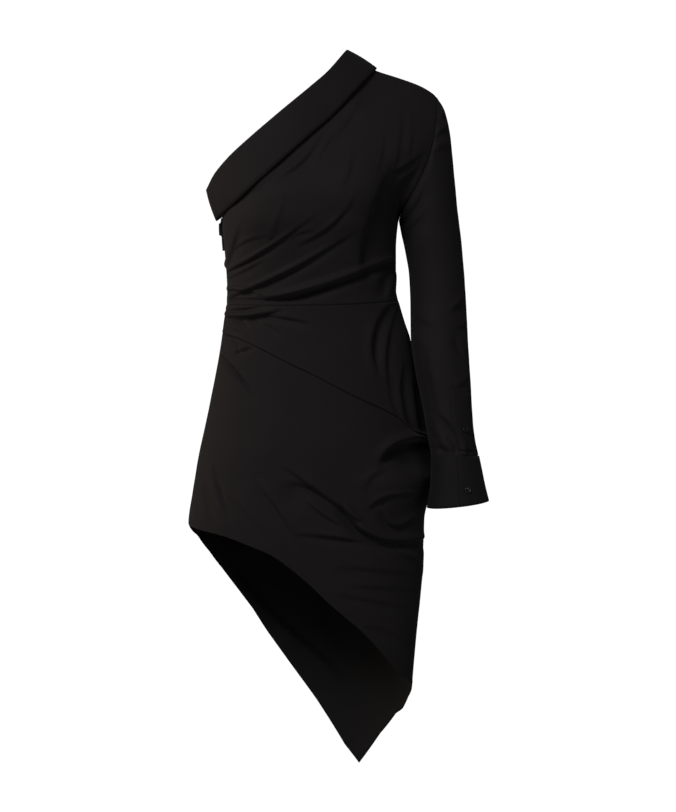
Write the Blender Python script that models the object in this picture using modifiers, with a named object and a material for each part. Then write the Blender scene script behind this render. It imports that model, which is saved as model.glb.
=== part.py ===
"""One-shoulder dress of shirt cloth with one long sleeve and a pointed hem, worn shape, all walls real.

Sizes are millimetres and are turned to metres when a mesh is made. x runs to the wearer's left, y to
the back and "drop" is the way down from the top of the shoulder, so z is minus the drop.
"""
import math
from collections import namedtuple

import bmesh
import bpy
import numpy as np
from mathutils import Matrix, Vector

MM = 0.001
WALL = 1.2
SEAM_GAP = 0.3
SIDE_GAP = 0.8
PANEL_GAP = 0.8
ARMHOLE_GAP = 1.2
UNDERARM_GAP = 1.7
FRONT = -1
BACK = 1

# How far below the shoulder line the chest and the back reach their full depth
SHOULDER_ROUND = 95.0
UNDERARM_DROP = 222.0
ARMHOLE_TOP_DROP = 29.0
NECK_OVERLAP = 15.0
STAND_GAP = 0.9
# Share of the bodice's top edge that is neckline, the rest being shoulder seam
NECK_SHARE = 0.72
# Rows of a panel's grid lie closer near its upper edge by these powers
BODICE_ROW_EASE = 1.15
SKIRT_ROW_EASE = 1.3

# Columns and rows of a panel's grid over which its folds rise from a seam
SEAM_REACH = 1.5
# Shares of a fold's length over which it grows and fades
CREASE_HEAD_SHARE = 0.25
CREASE_TAIL_SHARE = 0.4
# Place and width of a fold's lip, in widths of the fold
LIP_PLACE = 1.7
LIP_WIDTH = 1.2
CREASE_STEPS = 25

# Share of the sleeve's length over which it turns from the armhole's shape to its own
ARMHOLE_BLEND = 0.22
SLEEVE_TOP_EASE = 0.06
SLEEVE_FOOT_EASE = 0.03
SLEEVE_FRONT_EASE = 3.0

COLLAR_FOLD_RADIUS = 2.2
COLLAR_FOLD_TURNS = (135, 90, 45)
COLLAR_STEPS = (0.0, 0.35, 0.7, 1.0)
CUFF_WALL = 1.6
CUFF_SPIRAL = 2.6
CUFF_INSET = 0.9
CUFF_START_DEGREES = 52.0
CUFF_END_DEGREES = 447.0
PLACKET_LIFT = 1.7
PLACKET_WALL = 1.2
PLACKET_TOP = 0.825
PLACKET_FOOT = 0.992
PLACKET_START_DEGREES = 52.0
PLACKET_END_DEGREES = 92.0
TAPE_WALL = 1.2
BUTTON_RADIUS = 5.0
BUTTON_HEIGHT = 2.2
BUTTON_GAP = 0.5
BUTTON_ROUND = 0.5
BUTTON_DISH_RADIUS = 3.5
BUTTON_DISH_DEPTH = 0.6
BUTTON_HOLE_RADIUS = 0.65
BUTTON_HOLE_OFFSET = 1.6
BUTTON_HOLES = 4
BUTTON_SIDES = 18
BUTTON_DISH_SIDES = 14
BUTTON_HOLE_SIDES = 6
PLACKET_BUTTON_ALONG = 0.932
PLACKET_BUTTON_DEGREES = 72.0
CUFF_BUTTON_ALONG = 0.66
CUFF_BUTTON_DEGREES = 72.0

Section = namedtuple("Section", "drop left right front back")
BODY = [
    Section(-60, -292, 82, 20, 20),
    Section(0, -292, 82, 42, 44),
    Section(30, -292, 82, 56, 62),
    Section(60, -292, 82, 72, 78),
    Section(100, -290, 76, 94, 92),
    Section(150, -286, 52, 113, 99),
    Section(190, -283, 20, 122, 98),
    Section(222, -281, -3, 121, 93),
    Section(270, -278, -11, 108, 84),
    Section(333, -275, -8, 96, 80),
    Section(357, -277, -2, 94, 81),
    Section(381, -281, 5, 94, 86),
    Section(413, -285, 13, 96, 96),
    Section(477, -296, 27, 102, 113),
    Section(541, -309, 42, 107, 124),
    Section(600, -322, 50, 110, 126),
    Section(630, -327, 50, 110, 125),
    Section(655, -331, 39, 110, 123),
    Section(707, -336, 38, 109, 119),
    Section(797, -334, 34, 105, 111),
    Section(893, -326, 25, 101, 104),
    Section(965, -318, 19, 99, 99),
    Section(1110, -300, 12, 94, 92),
]

Ridge = namedtuple("Ridge", "x drop")
SHOULDER = [
    Ridge(-100, -70),
    Ridge(-70, -38),
    Ridge(-50, -20),
    Ridge(-37, -13),
    Ridge(0, -1),
    Ridge(32, 11),
    Ridge(51, 24),
    Ridge(56, 29),
    Ridge(90, 75),
]

Edge = namedtuple("Edge", "x drop")
ARMHOLE = [
    Edge(56, 29),
    Edge(57, 46),
    Edge(55, 77),
    Edge(49, 110),
    Edge(35, 149),
    Edge(16, 183),
    Edge(4, 206),
    Edge(-3, 222),
]
FRONT_WAIST = [Edge(-277, 356), Edge(-159, 360), Edge(-2, 350)]
DIAGONAL_SEAM = [
    Edge(-284, 399),
    Edge(-257, 411),
    Edge(-151, 463),
    Edge(-73, 503),
    Edge(-10, 533),
    Edge(26, 560),
    Edge(46, 569),
]
FRONT_HEM = [
    Edge(-336, 706),
    Edge(-277, 725),
    Edge(-206, 749),
    Edge(-151, 787),
    Edge(-88, 847),
    Edge(-38, 898),
    Edge(19, 964),
]
BACK_HEM = [
    Edge(-336, 707),
    Edge(-291, 774),
    Edge(-231, 851),
    Edge(-177, 924),
    Edge(-120, 1001),
    Edge(-93, 1052),
    Edge(-65, 1097),
    Edge(-31, 1048),
    Edge(-6, 1014),
    Edge(4, 1007),
    Edge(19, 964),
]

CollarRow = namedtuple("CollarRow", "fold_x fold_drop fold_y edge_x edge_drop edge_front edge_back")
COLLAR = [
    CollarRow(-308, 172, 14, -294, 222, 18, 16),
    CollarRow(-294, 154, 45, -254, 190, 87, 67),
    CollarRow(-270, 129, 70, -231, 169, 103, 82),
    CollarRow(-230, 95, 84, -195, 137, 106, 95),
    CollarRow(-187, 59, 84, -153, 99, 98, 98),
    CollarRow(-140, 19, 70, -105, 56, 76, 87),
    CollarRow(-112, -10, 50, -72, 19, 54, 64),
    CollarRow(-85, -49, 0, -40, -19, 0, 0),
]

Ring = namedtuple("Ring", "along outer_x outer_drop inner_x inner_drop depth middle_y")
SLEEVE = [
    Ring(0.00, 56, 29, -3, 222, 52, 0),
    Ring(0.05, 66, 48, -1, 228, 55, 0),
    Ring(0.11, 77, 78, 2, 236, 56, 0),
    Ring(0.17, 82, 117, 5, 245, 56, 0),
    Ring(0.24, 86, 157, 9, 258, 55, 0),
    Ring(0.32, 91, 205, 14, 278, 53, 0),
    Ring(0.42, 97, 260, 18, 306, 51, 0),
    Ring(0.54, 102, 325, 20, 349, 49, -3),
    Ring(0.66, 105, 390, 25, 402, 47, -11),
    Ring(0.78, 109, 461, 35, 466, 45, -24),
    Ring(0.88, 112, 525, 45, 527, 43, -37),
    Ring(0.96, 117, 573, 51, 573, 41, -47),
    Ring(1.00, 122, 599, 54, 598, 40, -52),
]
CUFF = [
    Ring(0.00, 122, 599.5, 54, 598.5, 40, -52),
    Ring(0.25, 126, 618, 53, 619, 42, -55),
    Ring(0.60, 132, 643, 50, 649, 43, -59),
    Ring(1.00, 138, 668, 43, 679, 44, -64),
]

# Folds of the cloth: three points of the line, how deep it is, how wide, and the lip that stands up
# on its upper side; head and tail are how much of it is left at its two ends
Crease = namedtuple("Crease", "x0 drop0 x1 drop1 x2 drop2 depth width lip head tail")
BODICE_CREASES = [
    Crease(-270, 304, -198, 268, -120, 220, 7, 13, 4, 1.0, 0.1),
    Crease(-268, 345, -175, 304, -64, 247, 9, 14, 5, 1.0, 0.1),
    Crease(-268, 353, -135, 337, -14, 290, 13, 15, 8, 0.6, 0.8),
    Crease(-276, 300, -262, 265, -245, 222, 3, 12, 2, 0.8, 0.0),
    Crease(-196, 167, -151, 131, -96, 95, 3, 15, 1, 0.3, 0.3),
    Crease(-150, 268, -96, 229, -66, 180, 3, 14, 2, 0.2, 0.2),
    Crease(-36, 205, -30, 240, -50, 272, 8, 20, 2, 0.2, 0.9),
    Crease(30, 132, 8, 186, -16, 262, 7, 18, 0, 0.4, 0.9),
]
WRAP_CREASES = [
    Crease(-278, 375, -230, 375, -188, 367, 7, 10, 4, 1.0, 0.0),
    Crease(-274, 380, -241, 391, -225, 412, 4, 10, 2, 1.0, 0.0),
    Crease(-252, 376, -205, 392, -176, 412, 3, 11, 2, 0.6, 0.0),
    Crease(-222, 375, -170, 385, -140, 394, 3, 11, 1, 0.6, 0.0),
    Crease(-2, 362, -22, 405, -26, 466, 8, 16, 3, 0.6, 0.2),
    Crease(6, 425, 2, 480, 18, 546, 8, 15, 4, 0.2, 1.0),
]
SKIRT_CREASES = [
    Crease(-286, 440, -254, 478, -212, 520, 5, 14, 2, 0.8, 0.1),
    Crease(-38, 618, -2, 588, 46, 580, 14, 15, 4, 0.2, 1.0),
    Crease(-160, 626, -55, 716, 38, 735, 13, 20, 6, 0.1, 1.0),
    Crease(-28, 702, -8, 722, 24, 706, 5, 13, 2, 0.3, 0.6),
    Crease(-106, 776, -49, 780, 17, 789, 4, 13, 2, 0.1, 0.6),
    Crease(-102, 819, -49, 828, 6, 841, 4, 13, 1, 0.1, 0.6),
    Crease(-296, 620, -288, 654, -274, 690, 4, 12, 1, 0.2, 0.5),
    Crease(-227, 644, -192, 691, -151, 756, 4, 14, 1, 0.1, 0.3),
]
BACK_BODICE_CREASES = [
    Crease(-270, 300, -200, 262, -140, 215, 6, 14, 2, 1.0, 0.1),
    Crease(-268, 342, -180, 312, -80, 268, 7, 14, 3, 1.0, 0.1),
    Crease(20, 130, -20, 180, -50, 250, 6, 18, 0, 0.3, 0.2),
]
BACK_SKIRT_CREASES = [
    Crease(-272, 370, -220, 400, -150, 420, 6, 14, 2, 1.0, 0.0),
    Crease(-280, 404, -230, 450, -180, 495, 5, 14, 1, 0.8, 0.0),
    Crease(38, 590, -20, 640, -100, 650, 7, 18, 2, 0.8, 0.0),
    Crease(-272, 790, -239, 830, -177, 890, 6, 16, 2, 0.3, 0.9),
    Crease(-177, 890, -120, 940, -64, 998, 6, 16, 2, 0.9, 0.2),
]
SLEEVE_CREASES = [
    Crease(46, 96, 62, 88, 74, 76, 4, 14, 1, 0.2, 0.5),
    Crease(4, 215, 24, 200, 40, 165, 5, 14, 2, 0.9, 0.1),
    Crease(70, 385, 90, 373, 104, 362, 5, 14, 2, 0.1, 0.9),
    Crease(74, 412, 92, 422, 106, 432, 4, 14, 2, 0.1, 0.9),
    Crease(48, 545, 62, 560, 72, 590, 5, 13, 2, 0.6, 0.5),
    Crease(22, 385, 40, 398, 60, 402, 4, 14, 1, 0.9, 0.1),
]

Bump = namedtuple("Bump", "x drop across down out")
FRONT_BUMPS = [
    Bump(-214, 200, 46, 52, 9),
    Bump(-62, 200, 46, 52, 9),
    Bump(14, 602, 26, 17, -8),
    Bump(12, 650, 60, 30, 13),
    Bump(-20, 770, 70, 40, 4),
]
BACK_BUMPS = [
    Bump(-205, 590, 70, 85, 7),
    Bump(-70, 590, 70, 85, 7),
    Bump(-60, 110, 60, 60, 6),
]

Piece = namedtuple("Piece", "across down")
FRONT_BODICE_GRID = Piece(38, 29)
FRONT_WRAP_GRID = Piece(31, 15)
FRONT_SKIRT_GRID = Piece(33, 28)
BACK_BODICE_GRID = Piece(18, 18)
BACK_SKIRT_GRID = Piece(21, 22)
SLEEVE_GRID = Piece(20, 22)
COLLAR_ROWS = 18
CUFF_GRID = Piece(30, 4)
PLACKET_GRID = Piece(5, 7)


def eased(table, key, column, at):
    """Smooth curve through one column of a table, without overshoot, read at the places given."""
    known = np.array([getattr(row, key) for row in table], float)
    value = np.array([getattr(row, column) for row in table], float)
    step = np.diff(known)
    slope = np.diff(value) / step
    both = slope[:-1] * slope[1:]
    total = np.where(both > 0, slope[:-1] + slope[1:], 1.0)
    bend = np.concatenate(([slope[0]], np.where(both > 0, 2 * both / total, 0.0), [slope[-1]]))
    at = np.clip(at, known[0], known[-1])
    i = np.clip(np.searchsorted(known, at, side="right") - 1, 0, len(step) - 1)
    t = (at - known[i]) / step[i]
    start = (2 * t**3 - 3 * t**2 + 1) * value[i] + (t**3 - 2 * t**2 + t) * step[i] * bend[i]
    end = (3 * t**2 - 2 * t**3) * value[i + 1] + (t**3 - t**2) * step[i] * bend[i + 1]
    return start + end


def middle_and_half(drop):
    """Middle and half width of the form at each drop."""
    left = eased(BODY, "drop", "left", drop)
    right = eased(BODY, "drop", "right", drop)
    return (left + right) / 2, (right - left) / 2


def angle_at(x, drop):
    """Angle round the form, 0 at the wearer's right side and pi at the left one."""
    middle, half = middle_and_half(drop)
    return np.arccos(np.clip((middle - x) / half, -1, 1))


def on_form(angle, drop, side):
    """Points of the smooth form under the cloth, on its front or its back."""
    middle, half = middle_and_half(drop)
    x = middle - half * np.cos(angle)
    depth = eased(BODY, "drop", "front" if side == FRONT else "back", drop)
    below = np.clip((drop - eased(SHOULDER, "x", "drop", x)) / SHOULDER_ROUND, 0, 1)
    y = side * (depth * np.sin(angle) * np.sqrt(1 - (1 - below) ** 2) + SIDE_GAP / 2)
    return np.stack([x, y, -drop], axis=-1)


def normals(points, side):
    """Unit normals of a grid of points, turned to the outside of the dress."""
    across = np.gradient(points, axis=1)
    down = np.gradient(points, axis=0)
    normal = np.cross(across, down) * side
    return normal / np.maximum(np.linalg.norm(normal, axis=-1, keepdims=True), 1e-9)


def crease_depth(creases, x, drop):
    """How far the folds of a table push each point out, less than nothing in a trough."""
    out = np.zeros_like(x)
    for c in creases:
        t = np.linspace(0, 1, CREASE_STEPS)
        first = (1 - t) * (1 - 2 * t)
        second = 4 * t * (1 - t)
        third = t * (2 * t - 1)
        line_x = first * c.x0 + second * c.x1 + third * c.x2
        line_drop = first * c.drop0 + second * c.drop1 + third * c.drop2
        dx = x[..., None] - line_x
        dd = drop[..., None] - line_drop
        nearest = np.argmin(dx**2 + dd**2, axis=-1)
        gap_x = np.take_along_axis(dx, nearest[..., None], -1)[..., 0]
        gap_drop = np.take_along_axis(dd, nearest[..., None], -1)[..., 0]
        away = np.hypot(gap_x, gap_drop)
        above = np.where(gap_drop < 0, away, -away)
        along = t[nearest]
        strength = c.head + (1 - c.head) * np.clip(along / CREASE_HEAD_SHARE, 0, 1)
        strength = strength * (c.tail + (1 - c.tail) * np.clip((1 - along) / CREASE_TAIL_SHARE, 0, 1))
        trough = c.depth * np.exp(-((away / c.width) ** 2))
        lip = c.lip * np.exp(-(((above - LIP_PLACE * c.width) / (LIP_WIDTH * c.width)) ** 2))
        out += strength * (lip - trough)
    return out


def bump_height(bumps, x, drop):
    """How far the round places of a table push each point out."""
    out = np.zeros_like(x)
    for b in bumps:
        out += b.out * np.exp(-(((x - b.x) / b.across) ** 2) - ((drop - b.drop) / b.down) ** 2)
    return out


def held(count, first, last):
    """Factors that fall to nothing at the ends of a row that are sewn to another piece."""
    place = np.arange(count)
    factor = np.ones(count)
    if first:
        factor = factor * np.clip(place / SEAM_REACH, 0, 1)
    if last:
        factor = factor * np.clip((count - 1 - place) / SEAM_REACH, 0, 1)
    return factor


def draped(points, side, creases, bumps, open_foot=False):
    """The form's points with folds and round places added, held still at the edges that are sewn."""
    rows, columns = points.shape[:2]
    x = points[..., 0]
    drop = -points[..., 2]
    ease = held(rows, True, not open_foot)[:, None] * held(columns, True, True)
    out = (crease_depth(creases, x, drop) + bump_height(bumps, x, drop)) * ease
    return points + normals(points, side) * out[..., None]


def along_edge(edge, share):
    """Places on an edge's table by their share of its length, as x and drop."""
    length = [0.0]
    for a, b in zip(edge, edge[1:]):
        length.append(length[-1] + math.hypot(b.x - a.x, b.drop - a.drop))
    Step = namedtuple("Step", "length x drop")
    steps = [Step(s, e.x, e.drop) for s, e in zip(length, edge)]
    at = np.asarray(share) * length[-1]
    return eased(steps, "length", "x", at), eased(steps, "length", "drop", at)


def edge_by_angle(edge, angle, pointed=False):
    """Drop of an edge's table at each angle round the form; a pointed edge keeps its corners."""
    x = np.array([e.x for e in edge], float)
    drop = np.array([e.drop for e in edge], float)
    Turn = namedtuple("Turn", "angle drop")
    turns = [Turn(a, d) for a, d in zip(angle_at(x, drop), drop)]
    turns[0] = Turn(0.0, turns[0].drop)
    turns[-1] = Turn(math.pi, turns[-1].drop)
    if pointed:
        return np.interp(angle, [t.angle for t in turns], [t.drop for t in turns])
    return eased(turns, "angle", "drop", angle)


def neckline():
    """Edge of the bodice under the collar, as points of the collar's rows moved up from its edge."""
    points = []
    for row in COLLAR:
        reach = math.hypot(row.fold_x - row.edge_x, row.fold_drop - row.edge_drop)
        share = NECK_OVERLAP / reach
        x = row.edge_x + share * (row.fold_x - row.edge_x)
        drop = row.edge_drop + share * (row.fold_drop - row.edge_drop)
        points.append(Edge(x, drop))
    first = points[0].drop
    points[0] = Edge(float(middle_and_half(first)[0] - middle_and_half(first)[1]), first)
    last = points[-1].x
    points[-1] = Edge(last, float(eased(SHOULDER, "x", "drop", last)))
    return points


def armhole(share, side):
    """Points of the armhole from the shoulder down to the underarm, on the front or the back."""
    x, drop = along_edge(ARMHOLE, share)
    return on_form(angle_at(x, drop), drop, side)


def bodice_points(grid, side):
    """Grid of the bodice between neckline, shoulder, armhole, side seams and waist."""
    u = np.linspace(0, 1, grid.across)
    v = np.linspace(0, 1, grid.down) ** BODICE_ROW_EASE
    neck = neckline()
    neck_x, neck_drop = along_edge(neck, np.clip(u / NECK_SHARE, 0, 1))
    ridge_x = neck[-1].x + (ARMHOLE[0].x - neck[-1].x) * (u - NECK_SHARE) / (1 - NECK_SHARE)
    ridge_drop = eased(SHOULDER, "x", "drop", ridge_x)
    top_x = np.where(u <= NECK_SHARE, neck_x, ridge_x)
    top_drop = np.where(u <= NECK_SHARE, neck_drop, ridge_drop)
    top = np.stack([angle_at(top_x, top_drop), top_drop], axis=-1)
    top[0, 0] = 0.0
    bottom_angle = u * math.pi
    bottom = np.stack([bottom_angle, edge_by_angle(FRONT_WAIST, bottom_angle) - PANEL_GAP / 2], axis=-1)
    left = np.stack([np.zeros_like(v), top[0, 1] + (bottom[0, 1] - top[0, 1]) * v], axis=-1)
    arm_share = (UNDERARM_DROP - ARMHOLE_TOP_DROP) / (bottom[-1, 1] - ARMHOLE_TOP_DROP)
    arm_x, arm_drop = along_edge(ARMHOLE, np.clip(v / arm_share, 0, 1))
    side_drop = UNDERARM_DROP + (bottom[-1, 1] - UNDERARM_DROP) * (v - arm_share) / (1 - arm_share)
    right_drop = np.where(v <= arm_share, arm_drop, side_drop)
    right_angle = np.where(v <= arm_share, angle_at(arm_x, arm_drop), math.pi)
    right = np.stack([right_angle, right_drop], axis=-1)
    U = u[None, :, None]
    V = v[:, None, None]
    ruled = (1 - V) * top[None] + V * bottom[None] + (1 - U) * left[:, None] + U * right[:, None]
    corners = (1 - V) * ((1 - U) * top[0] + U * top[-1]) + V * ((1 - U) * bottom[0] + U * bottom[-1])
    flat = ruled - corners
    return on_form(flat[..., 0], flat[..., 1], side)


def band_points(grid, side, top, bottom, snap=None, row_ease=1.0):
    """Grid of a panel that runs from side seam to side seam between two edges."""
    angle = np.linspace(0, math.pi, grid.across)
    if snap is not None:
        target = float(angle_at(snap.x, snap.drop))
        angle[np.argmin(np.abs(angle - target))] = target
    top_drop = edge_by_angle(top, angle) + PANEL_GAP / 2
    bottom_drop = edge_by_angle(bottom, angle, snap is not None) - PANEL_GAP / 2
    v = np.linspace(0, 1, grid.down)[:, None] ** row_ease
    drop = (1 - v) * top_drop + v * bottom_drop
    return on_form(np.broadcast_to(angle, drop.shape), drop, side)


def ring_points(table, along, turn):
    """Point of a tube's ring: turn 0 is its outer side and a quarter turn is its front."""
    outer = np.stack([eased(table, "along", "outer_x", along), 0 * along,
                      -eased(table, "along", "outer_drop", along)], axis=-1)
    inner = np.stack([eased(table, "along", "inner_x", along), 0 * along,
                      -eased(table, "along", "inner_drop", along)], axis=-1)
    points = (outer + inner) / 2 + (outer - inner) / 2 * np.cos(turn)[..., None]
    depth = eased(table, "along", "depth", along)
    points[..., 1] = eased(table, "along", "middle_y", along) - depth * np.sin(turn)
    return points


def sleeve_points(along, turn):
    """Points of the sleeve, its first ring being the armhole itself."""
    points = ring_points(SLEEVE, along, turn)
    share = (1 - np.cos(turn)) / 2
    front = armhole(share, FRONT)
    back = armhole(share, BACK)
    seam = np.where((np.sin(turn) >= 0)[..., None], front, back)
    pull = np.clip(1 - along / ARMHOLE_BLEND, 0, 1) ** 2
    start = ring_points(SLEEVE, 0 * along, turn)
    points = points + (seam - start) * pull[..., None]
    points[..., 0] += (ARMHOLE_GAP + (UNDERARM_GAP - ARMHOLE_GAP) * share**3) * pull
    return points


def unit(vector):
    """The vector made one long."""
    return vector / np.linalg.norm(vector, axis=-1, keepdims=True)


def finish_piece(name, mesh, material):
    """Puts a mesh into the dress's collection with its own material."""
    item = bpy.data.objects.new(name, mesh)
    collection("Dress").objects.link(item)
    mesh.materials.append(material)
    return item


def collection(name):
    """The collection of that name, made when it isn't there."""
    found = bpy.data.collections.get(name)
    if found is None:
        found = bpy.data.collections.new(name)
        bpy.context.scene.collection.children.link(found)
    return found


def cloth_material(name, colour=(0.012, 0.011, 0.011, 1), roughness=0.75):
    """Plain black cotton cloth."""
    material = bpy.data.materials.new(name)
    material.use_nodes = True
    shader = material.node_tree.nodes["Principled BSDF"]
    shader.inputs["Base Color"].default_value = colour
    shader.inputs["Roughness"].default_value = roughness
    material.diffuse_color = colour
    return material


def sheet(name, points, wall=WALL, closed=False):
    """A cloth piece: a grid of points given a wall of even thickness."""
    rows, columns = points.shape[:2]
    vertices = [tuple(p * MM) for p in points.reshape(-1, 3)]
    last = columns if closed else columns - 1
    faces = []
    for r in range(rows - 1):
        for c in range(last):
            n = (c + 1) % columns
            faces.append((r * columns + c, (r + 1) * columns + c, (r + 1) * columns + n, r * columns + n))
    mesh = bpy.data.meshes.new(name)
    mesh.from_pydata(vertices, [], faces)
    for polygon in mesh.polygons:
        polygon.use_smooth = True
    item = finish_piece(name, mesh, cloth_material(name))
    wall_modifier = item.modifiers.new("Wall", "SOLIDIFY")
    wall_modifier.thickness = wall * MM
    wall_modifier.offset = 0
    wall_modifier.use_even_offset = True
    return item


def front_bodice():
    """Front of the bodice, its folds drawn to the wearer's right side."""
    points = bodice_points(FRONT_BODICE_GRID, FRONT)
    sheet("front_bodice", draped(points, FRONT, BODICE_CREASES, FRONT_BUMPS))


def back_bodice():
    """Back of the bodice."""
    points = bodice_points(BACK_BODICE_GRID, BACK)
    sheet("back_bodice", draped(points, BACK, BACK_BODICE_CREASES, BACK_BUMPS))


def front_wrap():
    """Panel of the front between the waist and the slanting seam."""
    points = band_points(FRONT_WRAP_GRID, FRONT, FRONT_WAIST, DIAGONAL_SEAM)
    sheet("front_wrap", draped(points, FRONT, WRAP_CREASES, FRONT_BUMPS))


def front_skirt():
    """Front of the skirt, with the pouch of cloth at the wearer's left hip."""
    points = band_points(FRONT_SKIRT_GRID, FRONT, DIAGONAL_SEAM, FRONT_HEM, row_ease=SKIRT_ROW_EASE)
    sheet("front_skirt", draped(points, FRONT, SKIRT_CREASES, FRONT_BUMPS, open_foot=True))


def back_skirt():
    """Back of the skirt, running down to the point of the hem."""
    tip = max(BACK_HEM, key=lambda e: e.drop)
    points = band_points(BACK_SKIRT_GRID, BACK, FRONT_WAIST, BACK_HEM, tip)
    sheet("back_skirt", draped(points, BACK, BACK_SKIRT_CREASES, BACK_BUMPS, open_foot=True))


def collar():
    """Folded collar from the wearer's right side over the left shoulder and back: stand, fold and fall."""
    Row = namedtuple("Row", "along fold_x fold_drop fold_y edge_x edge_drop edge_y neck_x neck_drop")
    neck = neckline()
    rows = []
    for i, (r, n) in enumerate(zip(COLLAR, neck)):
        rows.append(Row(i, r.fold_x, r.fold_drop, -r.fold_y, r.edge_x, r.edge_drop, -r.edge_front,
                        n.x, n.drop))
    top = len(COLLAR) - 1
    for row, r in reversed(list(zip(rows[:-1], COLLAR))):
        rows.append(row._replace(along=2 * top - row.along, fold_y=r.fold_y, edge_y=r.edge_back))
    along = np.linspace(0, 2 * top, 2 * COLLAR_ROWS - 1)

    def read(column):
        return eased(rows, "along", column, along)

    fold = np.stack([read("fold_x"), read("fold_y"), -read("fold_drop")], axis=-1)
    edge = np.stack([read("edge_x"), read("edge_y"), -read("edge_drop")], axis=-1)
    neck_angle = angle_at(read("neck_x"), read("neck_drop"))
    front = on_form(neck_angle, read("neck_drop"), FRONT)
    back = on_form(neck_angle, read("neck_drop"), BACK)
    base = np.where((along <= top)[:, None], front, back)
    base[COLLAR_ROWS - 1, 1] = 0.0
    fall = unit(edge - fold)
    out = unit(np.cross(fall, np.gradient(fold, axis=0)))
    centre = fold + fall * COLLAR_FOLD_RADIUS
    low = base - unit(base - centre) * STAND_GAP
    stand_top = centre - out * COLLAR_FOLD_RADIUS
    fall_top = centre + out * COLLAR_FOLD_RADIUS
    lines = [low + (stand_top - low) * share for share in COLLAR_STEPS]
    for turn in np.radians(COLLAR_FOLD_TURNS):
        lines.append(centre + (out * math.cos(turn) - fall * math.sin(turn)) * COLLAR_FOLD_RADIUS)
    lines += [fall_top + (edge - fall_top) * share for share in COLLAR_STEPS]
    sheet("collar", np.stack(lines, axis=0))


def lifted(points, turn, lift):
    """Points of a tube moved out from its middle."""
    outwards = np.stack([np.cos(turn), -np.sin(turn), 0 * turn], axis=-1)
    return points + outwards * lift[..., None]


def sleeve_cloth(along, turn):
    """Points of the sleeve with its folds."""
    points = sleeve_points(along, turn)
    ends = np.clip(along / SLEEVE_TOP_EASE, 0, 1) * np.clip((1 - along) / SLEEVE_FOOT_EASE, 0, 1)
    depth = crease_depth(SLEEVE_CREASES, points[..., 0], -points[..., 2])
    return lifted(points, turn, depth * ends * np.clip(np.sin(turn) * SLEEVE_FRONT_EASE, 0, 1))


def placket_cloth(along, turn):
    """Points of the strip laid on the sleeve's folds."""
    return lifted(sleeve_cloth(along, turn), turn, PLACKET_LIFT + 0 * turn)


def cuff_cloth(along, turn):
    """Points of the cuff, which winds outwards so that its end laps over its start."""
    first = math.radians(CUFF_START_DEGREES)
    last = math.radians(CUFF_END_DEGREES)
    wound = (turn - first) / (last - first) * CUFF_SPIRAL - CUFF_INSET
    return lifted(ring_points(CUFF, along, turn), turn, wound)


def tube_grid(along, turn):
    """Every pair of the places along a tube and round it."""
    return np.meshgrid(along, turn, indexing="ij")


def sleeve():
    """Long sleeve from the armhole to the cuff."""
    grid = SLEEVE_GRID
    turn = np.arange(grid.across) * 2 * math.pi / grid.across
    sheet("sleeve", sleeve_cloth(*tube_grid(np.linspace(0, 1, grid.down), turn)), closed=True)


def cuff():
    """Cuff of two layers of cloth whose outer end laps over the inner one."""
    turn = np.radians(np.linspace(CUFF_START_DEGREES, CUFF_END_DEGREES, CUFF_GRID.across))
    sheet("cuff", cuff_cloth(*tube_grid(np.linspace(0, 1, CUFF_GRID.down), turn)), wall=CUFF_WALL)


def placket():
    """Strip over the sleeve's slit, laid on the sleeve above the cuff."""
    along = np.linspace(PLACKET_TOP, PLACKET_FOOT, PLACKET_GRID.down)
    turn = np.radians(np.linspace(PLACKET_START_DEGREES, PLACKET_END_DEGREES, PLACKET_GRID.across))
    sheet("sleeve_placket", placket_cloth(*tube_grid(along, turn)), wall=PLACKET_WALL)


def side_closure():
    """Stepped end of the closing tape that stands out of the side seam below the collar."""
    Step = namedtuple("Step", "drop outer_x")
    steps = [Step(226, -290), Step(236, -290), Step(245, -289.5), Step(247, -285.5), Step(258, -285),
             Step(270, -284)]
    drop = np.array([s.drop for s in steps], float)
    outer = np.array([s.outer_x for s in steps], float)
    middle, half = middle_and_half(drop)
    inner = middle - half - WALL / 2 - SEAM_GAP
    lines = [np.stack([x, 0 * x, -drop], axis=-1) for x in (outer, (outer + inner) / 2, inner)]
    sheet("side_closure", np.stack(lines, axis=1), wall=TAPE_WALL)


def disc(name, radius, height, sides, middle=(0, 0, 0)):
    """Mesh of an upright round disc."""
    form = bmesh.new()
    bmesh.ops.create_cone(form, cap_ends=True, segments=sides, radius1=radius * MM, radius2=radius * MM,
                          depth=height * MM, matrix=Matrix.Translation(Vector(middle) * MM))
    mesh = bpy.data.meshes.new(name)
    form.to_mesh(mesh)
    form.free()
    return mesh


def cut_away(item, name, mesh):
    """Takes the form of a mesh away from a piece."""
    cutter = bpy.data.objects.new(name, mesh)
    collection("Cutters").objects.link(cutter)
    cutter.matrix_world = item.matrix_world
    cutter.hide_render = True
    cutter.display_type = "WIRE"
    cut = item.modifiers.new(name, "BOOLEAN")
    cut.operation = "DIFFERENCE"
    cut.solver = "EXACT"
    cut.object = cutter


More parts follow.
